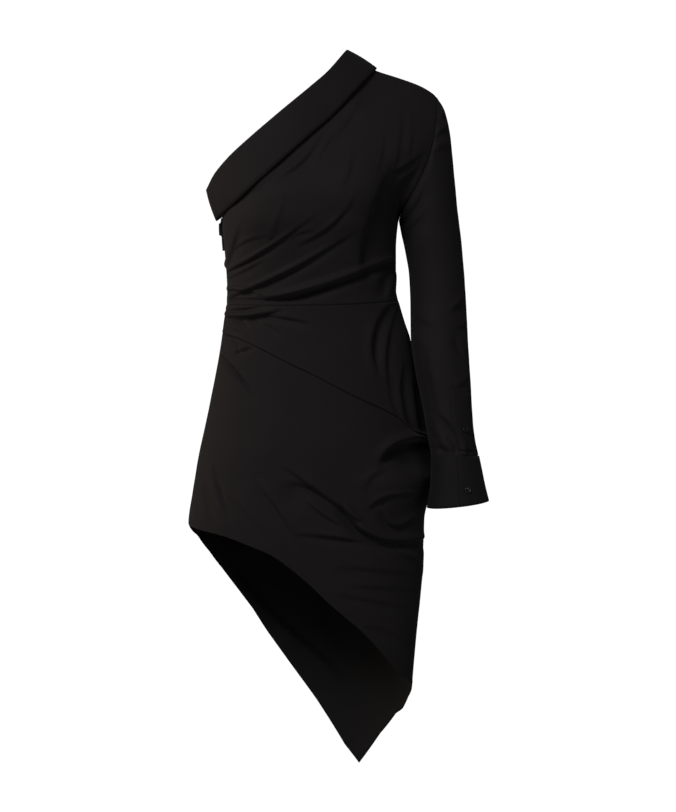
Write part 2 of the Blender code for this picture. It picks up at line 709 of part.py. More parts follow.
def button(name, point, normal):
    """Small round button with a dished face and four thread holes, flat on the cloth."""
    up = Vector(normal)
    middle = Vector(point) + up * (BUTTON_HEIGHT / 2)
    mesh = disc(name, BUTTON_RADIUS, BUTTON_HEIGHT, BUTTON_SIDES)
    for polygon in mesh.polygons:
        polygon.use_smooth = len(polygon.vertices) == 4
    item = finish_piece(name, mesh, cloth_material(name, roughness=0.2))
    item.matrix_world = Matrix.Translation(middle * MM) @ up.to_track_quat("Z", "Y").to_matrix().to_4x4()
    rim = item.modifiers.new("Rim", "BEVEL")
    rim.width = BUTTON_ROUND * MM
    rim.segments = 1
    rim.limit_method = "ANGLE"
    dish_middle = (0, 0, BUTTON_HEIGHT - BUTTON_DISH_DEPTH)
    dish = disc(name + "_dish", BUTTON_DISH_RADIUS, BUTTON_HEIGHT, BUTTON_DISH_SIDES, dish_middle)
    cut_away(item, name + "_dish", dish)
    for i in range(BUTTON_HOLES):
        turn = 2 * math.pi * (i + 0.5) / BUTTON_HOLES
        place = (BUTTON_HOLE_OFFSET * math.cos(turn), BUTTON_HOLE_OFFSET * math.sin(turn), 0)
        hole_name = f"{name}_hole_{i + 1}"
        hole = disc(hole_name, BUTTON_HOLE_RADIUS, 2 * BUTTON_HEIGHT, BUTTON_HOLE_SIDES, place)
        cut_away(item, hole_name, hole)


def tube_place(points_of, along, degrees, lift):
    """Point lifted off a tube's cloth and the direction out of it."""
    step = 0.01
    turn = math.radians(degrees)
    spots = [(along, turn), (along + step, turn), (along, turn + step)]
    p, down, round_ = [points_of(np.array([a]), np.array([t]))[0] for a, t in spots]
    out = unit(np.cross(round_ - p, down - p))
    if out[0] * math.cos(turn) - out[1] * math.sin(turn) < 0:
        out = -out
    return p + out * lift, out


def buttons():
    """The button of the placket and the button of the cuff."""
    lift = PLACKET_WALL / 2 + BUTTON_GAP
    button("placket_button", *tube_place(placket_cloth, PLACKET_BUTTON_ALONG, PLACKET_BUTTON_DEGREES, lift))
    lift = CUFF_WALL / 2 + BUTTON_GAP
    outer_layer = CUFF_BUTTON_DEGREES + 360
    button("cuff_button", *tube_place(cuff_cloth, CUFF_BUTTON_ALONG, outer_layer, lift))


def main():
    """Clears the file and builds every piece of the dress."""
    for item in list(bpy.data.objects):
        bpy.data.objects.remove(item, do_unlink=True)
    front_bodice()
    front_wrap()
    front_skirt()
    back_bodice()
    back_skirt()
    collar()
    sleeve()
    cuff()
    placket()
    side_closure()
    buttons()


main()
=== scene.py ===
"""Looks of the one-shoulder dress: fine cloth with its folds, stitches, buttons, light and camera.

Lengths in the tables are millimetres; x runs to the wearer's left, y to the back, and "drop" is the
way down from the top of the shoulder.
"""
import math
from collections import namedtuple

import bmesh
import bpy
import numpy as np
from mathutils import Matrix, Vector


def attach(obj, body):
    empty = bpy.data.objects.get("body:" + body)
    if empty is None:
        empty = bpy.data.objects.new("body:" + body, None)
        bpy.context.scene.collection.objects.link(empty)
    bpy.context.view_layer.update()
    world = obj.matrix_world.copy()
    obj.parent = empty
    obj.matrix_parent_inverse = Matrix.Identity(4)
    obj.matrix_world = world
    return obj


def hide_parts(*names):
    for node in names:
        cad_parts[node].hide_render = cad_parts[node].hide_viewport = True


bl_info = {
    "name": "One-shoulder dress",
    "version": (1, 0, 0),
    "blender": (4, 5, 0),
    "location": "View3D > Sidebar > Dress",
    "description": "Builds the cloth, stitches, buttons, light and camera of a one-shoulder dress",
    "category": "Object",
}

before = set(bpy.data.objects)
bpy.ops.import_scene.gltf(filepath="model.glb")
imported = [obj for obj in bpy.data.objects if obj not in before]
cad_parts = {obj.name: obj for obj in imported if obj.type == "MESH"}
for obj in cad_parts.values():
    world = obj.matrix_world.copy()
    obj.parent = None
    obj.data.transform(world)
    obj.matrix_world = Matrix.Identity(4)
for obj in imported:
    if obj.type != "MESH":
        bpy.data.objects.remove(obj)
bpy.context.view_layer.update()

MM = 0.001
FRONT = -1
BACK = 1
SIDE_GAP = 0.3
SHOULDER_ROUND = 95.0
UNDERARM_DROP = 222.0
ARMHOLE_TOP_DROP = 25.0
NECK_OVERLAP = 15.0
NECK_SHARE = 0.72
PANEL_GAP = 0.35
ARMHOLE_GAP = 0.5
UNDERARM_GAP = 1.5

Section = namedtuple("Section", "drop left right front back")
BODY = [Section(*row) for row in (
    (-60, -292, 82, 20, 20),
    (0, -292, 82, 42, 44),
    (30, -292, 82, 56, 62),
    (60, -292, 82, 72, 78),
    (100, -290, 76, 94, 92),
    (150, -286, 52, 113, 99),
    (190, -283, 20, 122, 98),
    (222, -284, -3, 121, 93),
    (270, -280, -7, 108, 84),
    (333, -276, -7, 96, 80),
    (357, -277, -1, 94, 81),
    (381, -281, 6, 94, 86),
    (413, -285, 16.5, 96, 96),
    (477, -296, 28.5, 102, 113),
    (541, -309, 42, 107, 124),
    (600, -322, 50, 110, 126),
    (630, -327, 50, 110, 125),
    (655, -331, 39, 110, 123),
    (707, -338, 38, 109, 119),
    (797, -334, 34, 105, 111),
    (893, -326, 25, 101, 104),
    (965, -318, 19, 99, 99),
    (1110, -300, 12, 94, 92),
)]

Ridge = namedtuple("Ridge", "x drop")
SHOULDER = [Ridge(*row) for row in (
    (-100, -70),
    (-70, -38),
    (-50, -23),
    (-37, -17),
    (0, -5),
    (32, 7),
    (52, 19),
    (58, 25),
    (92, 75),
)]

Edge = namedtuple("Edge", "x drop")
ARMHOLE = [Edge(*row) for row in (
    (58, 25),
    (58, 46),
    (55, 77),
    (49, 110),
    (35, 149),
    (16, 183),
    (4, 206),
    (-3, 222),
)]
FRONT_WAIST = [Edge(-277, 356), Edge(-159, 360), Edge(-2, 350)]
DIAGONAL_SEAM = [Edge(*row) for row in (
    (-284, 399),
    (-257, 411),
    (-151, 463),
    (-73, 503),
    (-10, 533),
    (26, 560),
    (46, 569),
)]
FRONT_HEM = [Edge(*row) for row in (
    (-338, 706),
    (-298, 720),
    (-278, 725),
    (-237, 740),
    (-206, 753),
    (-190, 763),
    (-151, 794),
    (-112, 831),
    (-57, 879),
    (-20, 921),
    (-1, 945),
    (20, 966),
)]
BACK_HEM = [Edge(*row) for row in (
    (-338, 706),
    (-325, 727),
    (-306, 754),
    (-287, 781),
    (-239, 847),
    (-215, 884),
    (-176, 938),
    (-137, 991),
    (-88, 1068),
    (-65, 1097),
    (-31, 1048),
    (-6, 1014),
    (4, 1006),
    (13, 985),
    (20, 966),
)]

CollarRow = namedtuple("CollarRow", "fold_x fold_drop fold_y edge_x edge_drop edge_front edge_back")
COLLAR = [CollarRow(*row) for row in (
    (-308, 172, 14, -294, 222, 18, 16),
    (-296, 152, 45, -254, 190, 87, 67),
    (-273, 126, 70, -231, 169, 103, 82),
    (-234, 91, 84, -195, 137, 106, 95),
    (-191, 54, 84, -153, 99, 98, 98),
    (-144, 14, 70, -105, 56, 76, 87),
    (-115, -13, 50, -70, 16, 54, 64),
    (-86, -50, 0, -37, -22, 0, 0),
)]

CollarLine = namedtuple("CollarLine", "along fold_x fold_drop fold_y edge_x edge_drop edge_y neck_x neck_drop")

Ring = namedtuple("Ring", "along outer_x outer_drop inner_x inner_drop depth middle_y")
SLEEVE = [Ring(*row) for row in (
    (0.00, 58, 25, -3, 222, 52, 0),
    (0.05, 70, 45, -1, 228, 55, 0),
    (0.11, 78, 78, 1, 236, 56, 0),
    (0.17, 83, 117, 3, 245, 56, 0),
    (0.24, 87, 157, 6, 258, 55, 0),
    (0.32, 91, 205, 10, 278, 53, 0),
    (0.42, 98, 260, 15, 306, 51, 0),
    (0.54, 103, 325, 17, 349, 49, -4),
    (0.66, 106, 390, 16.5, 402, 47, -17),
    (0.78, 110, 461, 25, 466, 45, -32),
    (0.88, 113, 525, 37, 527, 43, -43),
    (0.96, 118, 573, 45, 573, 41, -51),
    (1.00, 123, 599, 49, 598, 40, -55),
)]
CUFF = [Ring(*row) for row in (
    (0.00, 122.8, 597.5, 48.8, 596.5, 40, -55),
    (0.25, 127, 618, 49, 619, 42, -58),
    (0.60, 132, 643, 47, 649, 43, -62),
    (1.00, 138, 668, 42, 679, 44, -67),
)]

# Folds of the cloth: three points that the line runs through, how deep it is, how wide, the lip that
# stands up at the left of its way, and how much of it is left at its two ends
Crease = namedtuple("Crease", "x0 drop0 x1 drop1 x2 drop2 depth width lip head tail")
BODICE_CREASES = [Crease(*row) for row in (
    (-272, 304, -205, 270, -124, 212, 5, 3.4, 3, 0.5, 0.0),
    (-258, 268, -232, 256, -204, 252, 1.5, 3.5, 1, 0.6, 0.0),
    (-266, 345, -168, 304, -68, 242, 7.5, 4, 4, 0.5, 0.0),
    (-212, 352, -132, 334, -16, 290, 15, 5, 8, 0.1, 0.6),
    (-276, 302, -262, 265, -245, 222, 2, 5, 1.5, 0.5, 0.0),
    (-276, 318, -235, 300, -205, 282, 2, 4, 1.5, 0.5, 0.0),
    (-274, 336, -246, 338, -212, 350, 4, 4, 3, 0.5, 0.5),
    (-272, 350, -240, 350, -214, 353, 4, 4, 2, 0.5, 0.6),
    (-205, 262, -189, 228, -175, 180, 1.5, 5, 1, 0.3, 0.0),
    (-162, 268, -104, 232, -68, 176, 3, 4, 2, 0.1, 0.0),
    (-176, 262, -156, 248, -126, 248, 1.5, 3.5, 1, 0.2, 0.0),
    (-180, 158, -146, 128, -118, 84, 2, 5, 1.5, 0.1, 0.1),
    (-196, 167, -160, 142, -130, 112, 1.5, 5, 1, 0.1, 0.1),
    (-128, 132, -112, 104, -92, 82, 1.5, 5, 1, 0.1, 0.1),
    (-90, 176, -78, 150, -72, 118, 1.5, 6, 1, 0.1, 0.1),
    (-108, 115, -77, 64, -49, 24, 1.5, 7, 0.5, 0.3, 0.1),
    (-34, 150, -26, 118, -24, 84, 1.5, 5, 0.3, 0.2, 0.1),
    (-4, 140, 2, 90, 4, 52, 2, 4.5, 0.4, 0.6, 0.1),
    (16, 130, 20, 96, 20, 66, 1.2, 4.5, 0.3, 0.4, 0.1),
    (-4, 150, 12, 142, 32, 124, 4, 5, 2, 0.4, 0.3),
    (4, 186, 14, 166, 30, 146, 3, 5, 1.5, 0.3, 0.3),
    (-56, 290, -42, 214, -10, 146, 9, 13, 2, 0.9, 0.1),
    (-12, 300, -22, 326, -28, 350, 6, 6, 2, 0.5, 0.2),
)]
WRAP_CREASES = [Crease(*row) for row in (
    (-277, 377, -230, 378, -184, 366, 8, 4.5, 4, 0.5, 0.0),
    (-274, 366, -246, 366, -214, 360, 3, 3.5, 2, 0.5, 0.0),
    (-266, 379, -244, 391, -230, 412, 2.5, 4, 1, 0.5, 0.0),
    (-240, 380, -208, 394, -182, 412, 2, 4, 1, 0.5, 0.0),
    (-218, 377, -172, 384, -138, 392, 3, 4.5, 1.5, 0.4, 0.0),
    (-276, 390, -264, 398, -244, 404, 1.5, 4, 1, 0.5, 0.0),
    (-32, 470, -40, 412, -16, 360, 8, 7, 3, 0.1, 0.4),
    (-14, 500, -18, 430, -2, 366, 5, 6, 1.5, 0.2, 0.3),
    (20, 556, 4, 506, 8, 452, 8, 5, 3, 1.0, 0.1),
    (36, 560, 26, 500, 24, 440, 5, 6, 1.5, 0.9, 0.1),
    (8, 548, -8, 524, -18, 500, 3, 4, 1, 0.9, 0.1),
)]
SKIRT_CREASES = [Crease(*row) for row in (
    (-284, 440, -250, 476, -218, 522, 8, 3.6, 1, 0.8, 0.0),
    (-262, 414, -257, 424, -258, 434, 3, 3, 0, 0.9, 0.8),
    (-258, 433, -247, 430, -236, 426, 3, 3, 1, 0.9, 0.6),
    (-28, 606, -2, 582, 46, 575, 19, 7, 7, 0.2, 1.0),
    (-184, 616, -122, 662, -70, 700, 6, 5, 2.5, 0.0, 0.9),
    (-178, 644, -146, 650, -108, 676, 5, 7, 1.5, 0.2, 0.1),
    (-150, 668, -120, 694, -84, 712, 4, 4, 1.5, 0.1, 0.1),
    (-92, 680, -44, 728, 34, 734, 13, 5.5, 5, 0.3, 0.4),
    (-50, 682, -24, 664, 14, 660, 5, 4, 3, 0.2, 0.2),
    (-30, 688, -8, 712, 26, 694, 5, 4.5, 3, 0.4, 0.4),
    (-56, 650, -38, 628, -10, 622, 2.5, 6, 1.5, 0.1, 0.1),
    (-167, 722, -88, 730, -20, 744, 4, 4.5, 3, 0.0, 0.1),
    (-4, 752, 14, 764, 26, 786, 3, 5, 2, 0.5, 0.3),
    (-106, 776, -49, 780, 17, 789, 1.8, 7, 1, 0.0, 0.3),
    (-87, 805, -41, 808, 11, 813, 1.5, 7, 1, 0.0, 0.3),
    (-102, 819, -49, 828, 6, 841, 2, 6, 1, 0.0, 0.2),
    (-60, 868, -20, 880, 10, 902, 1.8, 7, 1, 0.0, 0.2),
    (-272, 694, -288, 652, -296, 606, 4, 4, 1, 0.2, 0.1),
    (-300, 700, -308, 660, -314, 620, 2, 6, 1, 0.4, 0.1),
    (-230, 640, -192, 688, -160, 746, 4, 5, 2, 0.0, 0.0),
    (-266, 660, -240, 696, -210, 728, 2.5, 6, 1, 0.1, 0.2),
)]
BACK_BODICE_CREASES = [Crease(*row) for row in (
    (-270, 300, -200, 262, -130, 212, 6, 8, 4, 1.0, 0.0),
    (-268, 326, -200, 300, -120, 256, 5, 8, 3, 1.0, 0.0),
    (-266, 345, -180, 322, -60, 276, 8, 9, 5, 1.0, 0.1),
    (-276, 312, -256, 280, -240, 240, 3, 8, 2, 0.8, 0.0),
    (-190, 180, -150, 145, -100, 110, 2, 10, 2, 0.2, 0.1),
    (28, 132, 0, 190, -20, 260, 6, 14, 0, 0.4, 0.6),
    (-100, 350, -60, 338, -14, 318, 3, 8, 2, 0.1, 0.8),
)]
BACK_SKIRT_CREASES = [Crease(*row) for row in (
    (-272, 368, -220, 392, -150, 405, 6, 8, 4, 1.0, 0.0),
    (-276, 380, -230, 425, -180, 470, 5, 8, 3, 0.9, 0.0),
    (-282, 402, -258, 450, -236, 500, 4, 8, 2, 0.8, 0.0),
    (-110, 640, -20, 632, 40, 585, 7, 12, 5, 0.0, 0.8),
    (-70, 720, 0, 690, 40, 640, 5, 12, 3, 0.0, 0.7),
    (-30, 840, 6, 780, 34, 720, 4, 12, 2, 0.0, 0.5),
    (-272, 780, -239, 830, -177, 890, 5, 12, 3, 0.2, 0.8),
    (-177, 890, -120, 940, -66, 998, 5, 12, 3, 0.8, 0.1),
    (-200, 700, -150, 800, -110, 900, 3, 14, 2, 0.0, 0.2),
)]
SLEEVE_CREASES = [Crease(*row) for row in (
    (48, 92, 62, 87, 76, 78, 3, 6, 2, 0.2, 0.4),
    (54, 64, 64, 62, 74, 54, 2, 6, 2, 0.2, 0.4),
    (52, 112, 64, 112, 78, 104, 2, 7, 2, 0.1, 0.3),
    (6, 222, 26, 200, 44, 162, 6, 8, 3, 0.9, 0.0),
    (8, 240, 30, 226, 52, 200, 4, 9, 2, 0.9, 0.0),
    (80, 370, 92, 362, 104, 350, 3, 6, 2, 0.1, 0.8),
    (86, 392, 96, 396, 106, 392, 2, 6, 1, 0.1, 0.8),
    (88, 408, 94, 428, 102, 448, 4, 6, 1.5, 0.2, 0.5),
    (78, 486, 92, 490, 108, 478, 2, 6, 1.5, 0.1, 0.6),
    (56, 532, 82, 562, 90, 594, 5, 7, 3, 0.1, 0.8),
    (50, 560, 62, 580, 70, 596, 4, 6, 2, 0.3, 0.8),
    (50, 584, 68, 586, 84, 597, 3, 5, 2, 0.8, 0.3),
    (24, 380, 44, 394, 66, 396, 1.5, 9, 1, 0.9, 0.0),
    (36, 440, 44, 490, 60, 540, 3, 12, 1, 0.4, 0.0),
    (58, 598, 60, 588, 64, 574, 2.5, 3.5, 1, 1.0, 0.0),
    (70, 598, 72, 590, 71, 578, 2, 3.5, 1, 1.0, 0.0),
    (82, 598, 84, 588, 88, 576, 2, 3.5, 1, 1.0, 0.0),
    (106, 598, 104, 586, 103, 572, 2, 3.5, 1, 1.0, 0.0),
)]

Bump = namedtuple("Bump", "x drop across down out")
FRONT_BUMPS = [Bump(*row) for row in (
    (-214, 200, 46, 52, 9),
    (-62, 200, 46, 52, 9),
    (6, 180, 30, 42, -13),
    (14, 604, 22, 18, -12),
    (12, 650, 60, 30, 13),
    (-20, 770, 70, 40, 4),
    (-168, 662, 34, 22, -4),
)]
BACK_BUMPS = [Bump(*row) for row in (
    (-205, 590, 70, 85, 7),
    (-70, 590, 70, 85, 7),
    (-60, 110, 60, 60, 6),
)]

Piece = namedtuple("Piece", "across down")
FRONT_BODICE_GRID = Piece(190, 165)
FRONT_WRAP_GRID = Piece(190, 84)
FRONT_SKIRT_GRID = Piece(200, 190)
BACK_BODICE_GRID = Piece(80, 80)
BACK_SKIRT_GRID = Piece(90, 110)
SLEEVE_GRID = Piece(110, 200)
COLLAR_ROWS = 80
CUFF_GRID = Piece(110, 16)
PLACKET_GRID = Piece(11, 30)

# How far the cloth dips at its sewn seams, or stands up where less than nothing, and how wide that is
WAIST_DIP = 0.4
WRAP_FOOT_DIP = -0.5
DIAGONAL_DIP = 1.8
SEAM_WIDTH = 3.0

# The bodice's rows stand closer at its top, and its armhole blends into the sleeve over a share of it
ROW_EASE = 1.15
ARMHOLE_BLEND = 0.22

# Share of a panel's width or height over which its folds rise from a seam
SIDE_REACH = 0.03
SEAM_REACH = 0.03

# A fold falls steeply from its lip and rises gently on the other side, in shares of its width
STEEP_SIDE = 0.55
GENTLE_SIDE = 1.9
LIP_PLACE = 1.3
LIP_WIDTH = 1.1
LINE_STEPS = 16
HEAD_RISE = 3
HEAD_ROUND = 0.7
TAIL_FALL = 2
RIPPLE_HEIGHT = 0.55
SMALL_RIPPLE_HEIGHT = 0.22

WALL = 1.2
BACK_FOLD_SHARE = 0.6
COLLAR_PUFF = 1.5
STITCH_LENGTH = 2.4
STITCH_RADIUS = 0.22
STITCH_LIFT = 0.72
STITCH_SIDES = 6
STITCH_RINGS = [(-0.5, 0.35), (-0.32, 1.0), (0.32, 1.0), (0.5, 0.35)]
CUFF_STITCH_INSET = 4.0
PLACKET_STITCH_INSET = 2.0
STAND_GAP = 0.6
COLLAR_FOLD_RADIUS = 2.2
COLLAR_STAND_LINES = 7
COLLAR_FOLD_DEGREES = (150, 120, 90, 60, 30)
COLLAR_FALL_LINES = 11

# The sleeve's end is drawn in and runs a little way down inside the cuff
SLEEVE_LENGTH = 600.0
SLEEVE_TUCK = 1.7
SLEEVE_TUCK_REACH = 3.0
SLEEVE_TUCK_LENGTH = 6.0
SLEEVE_TOP_EASE = 0.05
SLEEVE_FOOT_EASE = 0.008

CUFF_WALL = 1.6
CUFF_SPIRAL = 2.6
CUFF_INSET = 0.9
CUFF_SAG = 4.0
CUFF_START_DEGREES = 52.0
CUFF_END_DEGREES = 447.0
PLACKET_LIFT = 1.7
PLACKET_TOP = 0.825
PLACKET_FOOT = 0.984
PLACKET_START_DEGREES = 36.0
PLACKET_END_DEGREES = 80.0
TAPE_WALL = 1.2
TAPE_TUCK = 1.5
TAPE_GRID = Piece(5, 30)
TAPE_STEPS = [Edge(*row) for row in (
    (-286.5, 218),
    (-287, 225),
    (-290, 227),
    (-290, 236),
    (-289.5, 245),
    (-285.5, 247),
    (-285, 258),
    (-284, 270),
)]

# Metres: the camera stands level, one picture height being 812 steps of 1.6 mm at the dress
CAMERA_AWAY = 6.0
CAMERA_X = -0.0992
CAMERA_Z = -0.5184
PICTURE_HEIGHT = 1.2992
SENSOR_HEIGHT = 24
FLOOR_START_Y = -9.0
FLOOR_Z = -1.65
WALL_Y = 8.5
WALL_HEIGHT = 6.0
PAPER_HALF_WIDTH = 7.0
SWEEP_RADIUS = 0.8
SWEEP_STEPS = 17
Lamp = namedtuple("Lamp", "name place size colour")
LAMPS = [
    Lamp("key", (-1.9, -3.3, 2.5), 1.7, (1.0, 0.985, 0.97)),
    Lamp("fill", (2.7, -3.8, -0.7), 2.2, (1, 1, 1)),
    Lamp("rim", (-3.5, 0.5, 0.3), 1.2, (1.0, 0.84, 0.66)),
    Lamp("low", (-2.0, -3.6, -1.3), 1.2, (1, 1, 1)),
]

THREAD_COLOUR = (0.012, 0.011, 0.011)

# The cuff and the strip get a darker colour than the rest: painted shade standing for the lesser light on the
# lower sleeve
CUFF_PAINTED_SHADE = 0.7
PLACKET_PAINTED_SHADE = 0.85
DOUBLED_CREASES = 0.45

BUTTON_RADIUS = 5.0
BUTTON_HEIGHT = 2.2
BUTTON_DISH_RADIUS = 3.6
BUTTON_DISH_DEPTH = 0.8
BUTTON_FIRST_RING = 0.1
BUTTON_DISH_RINGS = 8
BUTTON_RIM_SINK = 0.4
BUTTON_RIM_DEGREES = 160
BUTTON_RIM_RINGS = 9
BUTTON_BACK = [(BUTTON_RADIUS - 0.3, 0.3), (BUTTON_RADIUS - 0.8, 0.0)]
BUTTON_SHARP_DEGREES = 50
BUTTON_DRILL_SIDES = 16
BUTTON_HOLE_RADIUS = 0.6
BUTTON_HOLE_OFFSET = 1.45
BUTTON_HOLES = 4
BUTTON_SIDES = 48
BUTTON_GAP = 0.2
SLOPE_STEP = 0.01
BUTTON_THREAD_RADIUS = 0.3
PLACKET_BUTTON_ALONG = 0.932
PLACKET_BUTTON_DEGREES = 57.0
CUFF_BUTTON_ALONG = 0.66
CUFF_BUTTON_DEGREES = 431.0
BUTTON_COLOUR = (0.008, 0.008, 0.008)


def eased(known, value, at):
    """Smooth curve through values at known places, without overshoot, read at the places given."""
    known = np.asarray(known, float)
    value = np.asarray(value, float)
    step = np.diff(known)
    slope = np.diff(value) / step
    both = slope[:-1] * slope[1:]
    total = np.where(both > 0, slope[:-1] + slope[1:], 1.0)
    bend = np.concatenate(([slope[0]], np.where(both > 0, 2 * both / total, 0.0), [slope[-1]]))
    at = np.clip(at, known[0], known[-1])
    i = np.clip(np.searchsorted(known, at, side="right") - 1, 0, len(step) - 1)
    t = (at - known[i]) / step[i]
    start = (2 * t**3 - 3 * t**2 + 1) * value[i] + (t**3 - 2 * t**2 + t) * step[i] * bend[i]
    end = (3 * t**2 - 2 * t**3) * value[i + 1] + (t**3 - t**2) * step[i] * bend[i + 1]
    return start + end


def read_table(table, key, column, at):
    """Smooth curve through one column of a table, read at places of its key column."""
    return eased([getattr(row, key) for row in table], [getattr(row, column) for row in table], at)


def middle_and_half(drop):
    """Middle and half width of the form at each drop."""
    left = read_table(BODY, "drop", "left", drop)
    right = read_table(BODY, "drop", "right", drop)
    return (left + right) / 2, (right - left) / 2


def angle_at(x, drop):
    """Angle round the form, 0 at the wearer's right side and pi at the left one."""
    middle, half = middle_and_half(drop)
    return np.arccos(np.clip((middle - x) / half, -1, 1))


def on_form(angle, drop, side):
    """Points of the smooth form under the cloth, on its front or its back."""
    middle, half = middle_and_half(drop)
    x = middle - half * np.cos(angle)
    depth = read_table(BODY, "drop", "front" if side == FRONT else "back", drop)
    below = np.clip((drop - read_table(SHOULDER, "x", "drop", x)) / SHOULDER_ROUND, 0, 1)
    y = side * (depth * np.sin(angle) * np.sqrt(1 - (1 - below) ** 2) + SIDE_GAP / 2)
    return np.stack([x, y, -drop], axis=-1)


def normals(points, side):
    """Unit normals of a grid of points, turned to the outside of the dress."""
    across = np.gradient(points, axis=1)
    down = np.gradient(points, axis=0)
    normal = np.cross(across, down) * side
    return normal / np.maximum(np.linalg.norm(normal, axis=-1, keepdims=True), 1e-9)


def bump_height(bumps, x, drop):
    """How far the round places of a table push each point out."""
    out = np.zeros_like(x)
    for b in bumps:
        out += b.out * np.exp(-(((x - b.x) / b.across) ** 2) - ((drop - b.drop) / b.down) ** 2)
    return out


def along_edge(edge, share):
    """Places on an edge's table by their share of its length, as x and drop."""
    x, drop = np.array(edge, float).T
    length = np.concatenate(([0], np.cumsum(np.hypot(np.diff(x), np.diff(drop)))))
    at = np.asarray(share) * length[-1]
    return eased(length, x, at), eased(length, drop, at)


def edge_by_angle(edge, angle, pointed=False):
    """Drop of an edge's table at each angle round the form; a pointed edge keeps its corners."""
    x, drop = np.array(edge, float).T
    turn = angle_at(x, drop)
    turn[0] = 0
    turn[-1] = math.pi
    return np.interp(angle, turn, drop) if pointed else eased(turn, drop, angle)


def neckline():
    """Edge of the bodice under the collar, as points of the collar's rows moved up from its edge."""
    points = []
    for row in COLLAR:
        share = NECK_OVERLAP / math.hypot(row.fold_x - row.edge_x, row.fold_drop - row.edge_drop)
        points.append(Edge(row.edge_x + share * (row.fold_x - row.edge_x),
                           row.edge_drop + share * (row.fold_drop - row.edge_drop)))
    middle, half = middle_and_half(points[0].drop)
    points[0] = points[0]._replace(x=float(middle - half))
    points[-1] = points[-1]._replace(drop=float(read_table(SHOULDER, "x", "drop", points[-1].x)))
    return points


def armhole(share, side):
    """Points of the armhole from the shoulder down to the underarm, on the front or the back."""
    x, drop = along_edge(ARMHOLE, share)
    return on_form(angle_at(x, drop), drop, side)


def ring_points(table, along, turn):
    """Point of a tube's ring: turn 0 is its outer side and a quarter turn is its front."""
    outer_x, outer_drop, inner_x, inner_drop, depth, middle_y = [
        read_table(table, "along", column, along) for column in Ring._fields[1:]]
    outwards = np.cos(turn)
    x = (outer_x + inner_x) / 2 + (outer_x - inner_x) / 2 * outwards
    drop = (outer_drop + inner_drop) / 2 + (outer_drop - inner_drop) / 2 * outwards
    return np.stack([x, middle_y - depth * np.sin(turn), -drop], axis=-1)


def sleeve_points(along, turn):
    """Points of the sleeve, its first ring being the armhole itself."""
    points = ring_points(SLEEVE, along, turn)
    share = (1 - np.cos(turn)) / 2
    front = armhole(share, FRONT)
    back = armhole(share, BACK)
    seam = np.where((np.sin(turn) >= 0)[..., None], front, back)
    pull = np.clip(1 - along / ARMHOLE_BLEND, 0, 1) ** 2
    start = ring_points(SLEEVE, 0 * along, turn)
    points = points + (seam - start) * pull[..., None]
    points[..., 0] += (ARMHOLE_GAP + (UNDERARM_GAP - ARMHOLE_GAP) * share**3) * pull
    return points


def bodice_points(grid, side):
    """Grid of the bodice between neckline, shoulder, armhole, side seams and waist."""
    u = np.linspace(0, 1, grid.across)
    v = np.linspace(0, 1, grid.down) ** ROW_EASE
    neck = neckline()
    neck_x, neck_drop = along_edge(neck, np.clip(u / NECK_SHARE, 0, 1))
    ridge_x = neck[-1].x + (ARMHOLE[0].x - neck[-1].x) * (u - NECK_SHARE) / (1 - NECK_SHARE)
    ridge_drop = read_table(SHOULDER, "x", "drop", ridge_x)
    top_x = np.where(u <= NECK_SHARE, neck_x, ridge_x)
    top_drop = np.where(u <= NECK_SHARE, neck_drop, ridge_drop)
    top = np.stack([angle_at(top_x, top_drop), top_drop], axis=-1)
    top[0, 0] = 0.0
    bottom_angle = u * math.pi
    bottom = np.stack([bottom_angle, edge_by_angle(FRONT_WAIST, bottom_angle) - PANEL_GAP / 2], axis=-1)
    left = np.stack([np.zeros_like(v), top[0, 1] + (bottom[0, 1] - top[0, 1]) * v], axis=-1)
    arm_share = (UNDERARM_DROP - ARMHOLE_TOP_DROP) / (bottom[-1, 1] - ARMHOLE_TOP_DROP)
    arm_x, arm_drop = along_edge(ARMHOLE, np.clip(v / arm_share, 0, 1))
    side_drop = UNDERARM_DROP + (bottom[-1, 1] - UNDERARM_DROP) * (v - arm_share) / (1 - arm_share)
    right_drop = np.where(v <= arm_share, arm_drop, side_drop)
    right_angle = np.where(v <= arm_share, angle_at(arm_x, arm_drop), math.pi)
    right = np.stack([right_angle, right_drop], axis=-1)
    U = u[None, :, None]
    V = v[:, None, None]
    ruled = (1 - V) * top[None] + V * bottom[None] + (1 - U) * left[:, None] + U * right[:, None]
    corners = (1 - V) * ((1 - U) * top[0] + U * top[-1]) + V * ((1 - U) * bottom[0] + U * bottom[-1])
    flat = ruled - corners
    return on_form(flat[..., 0], flat[..., 1], side)


def band_points(grid, side, top, bottom, snap=None):
    """Grid of a panel that runs from side seam to side seam between two edges."""
    angle = np.linspace(0, math.pi, grid.across)
    if snap is not None:
        target = float(angle_at(snap.x, snap.drop))
        angle[np.argmin(np.abs(angle - target))] = target
    top_drop = edge_by_angle(top, angle) + PANEL_GAP / 2
    bottom_drop = edge_by_angle(bottom, angle, snap is not None) - PANEL_GAP / 2
    v = np.linspace(0, 1, grid.down)[:, None]
    drop = (1 - v) * top_drop + v * bottom_drop
    return on_form(np.broadcast_to(angle, drop.shape), drop, side)


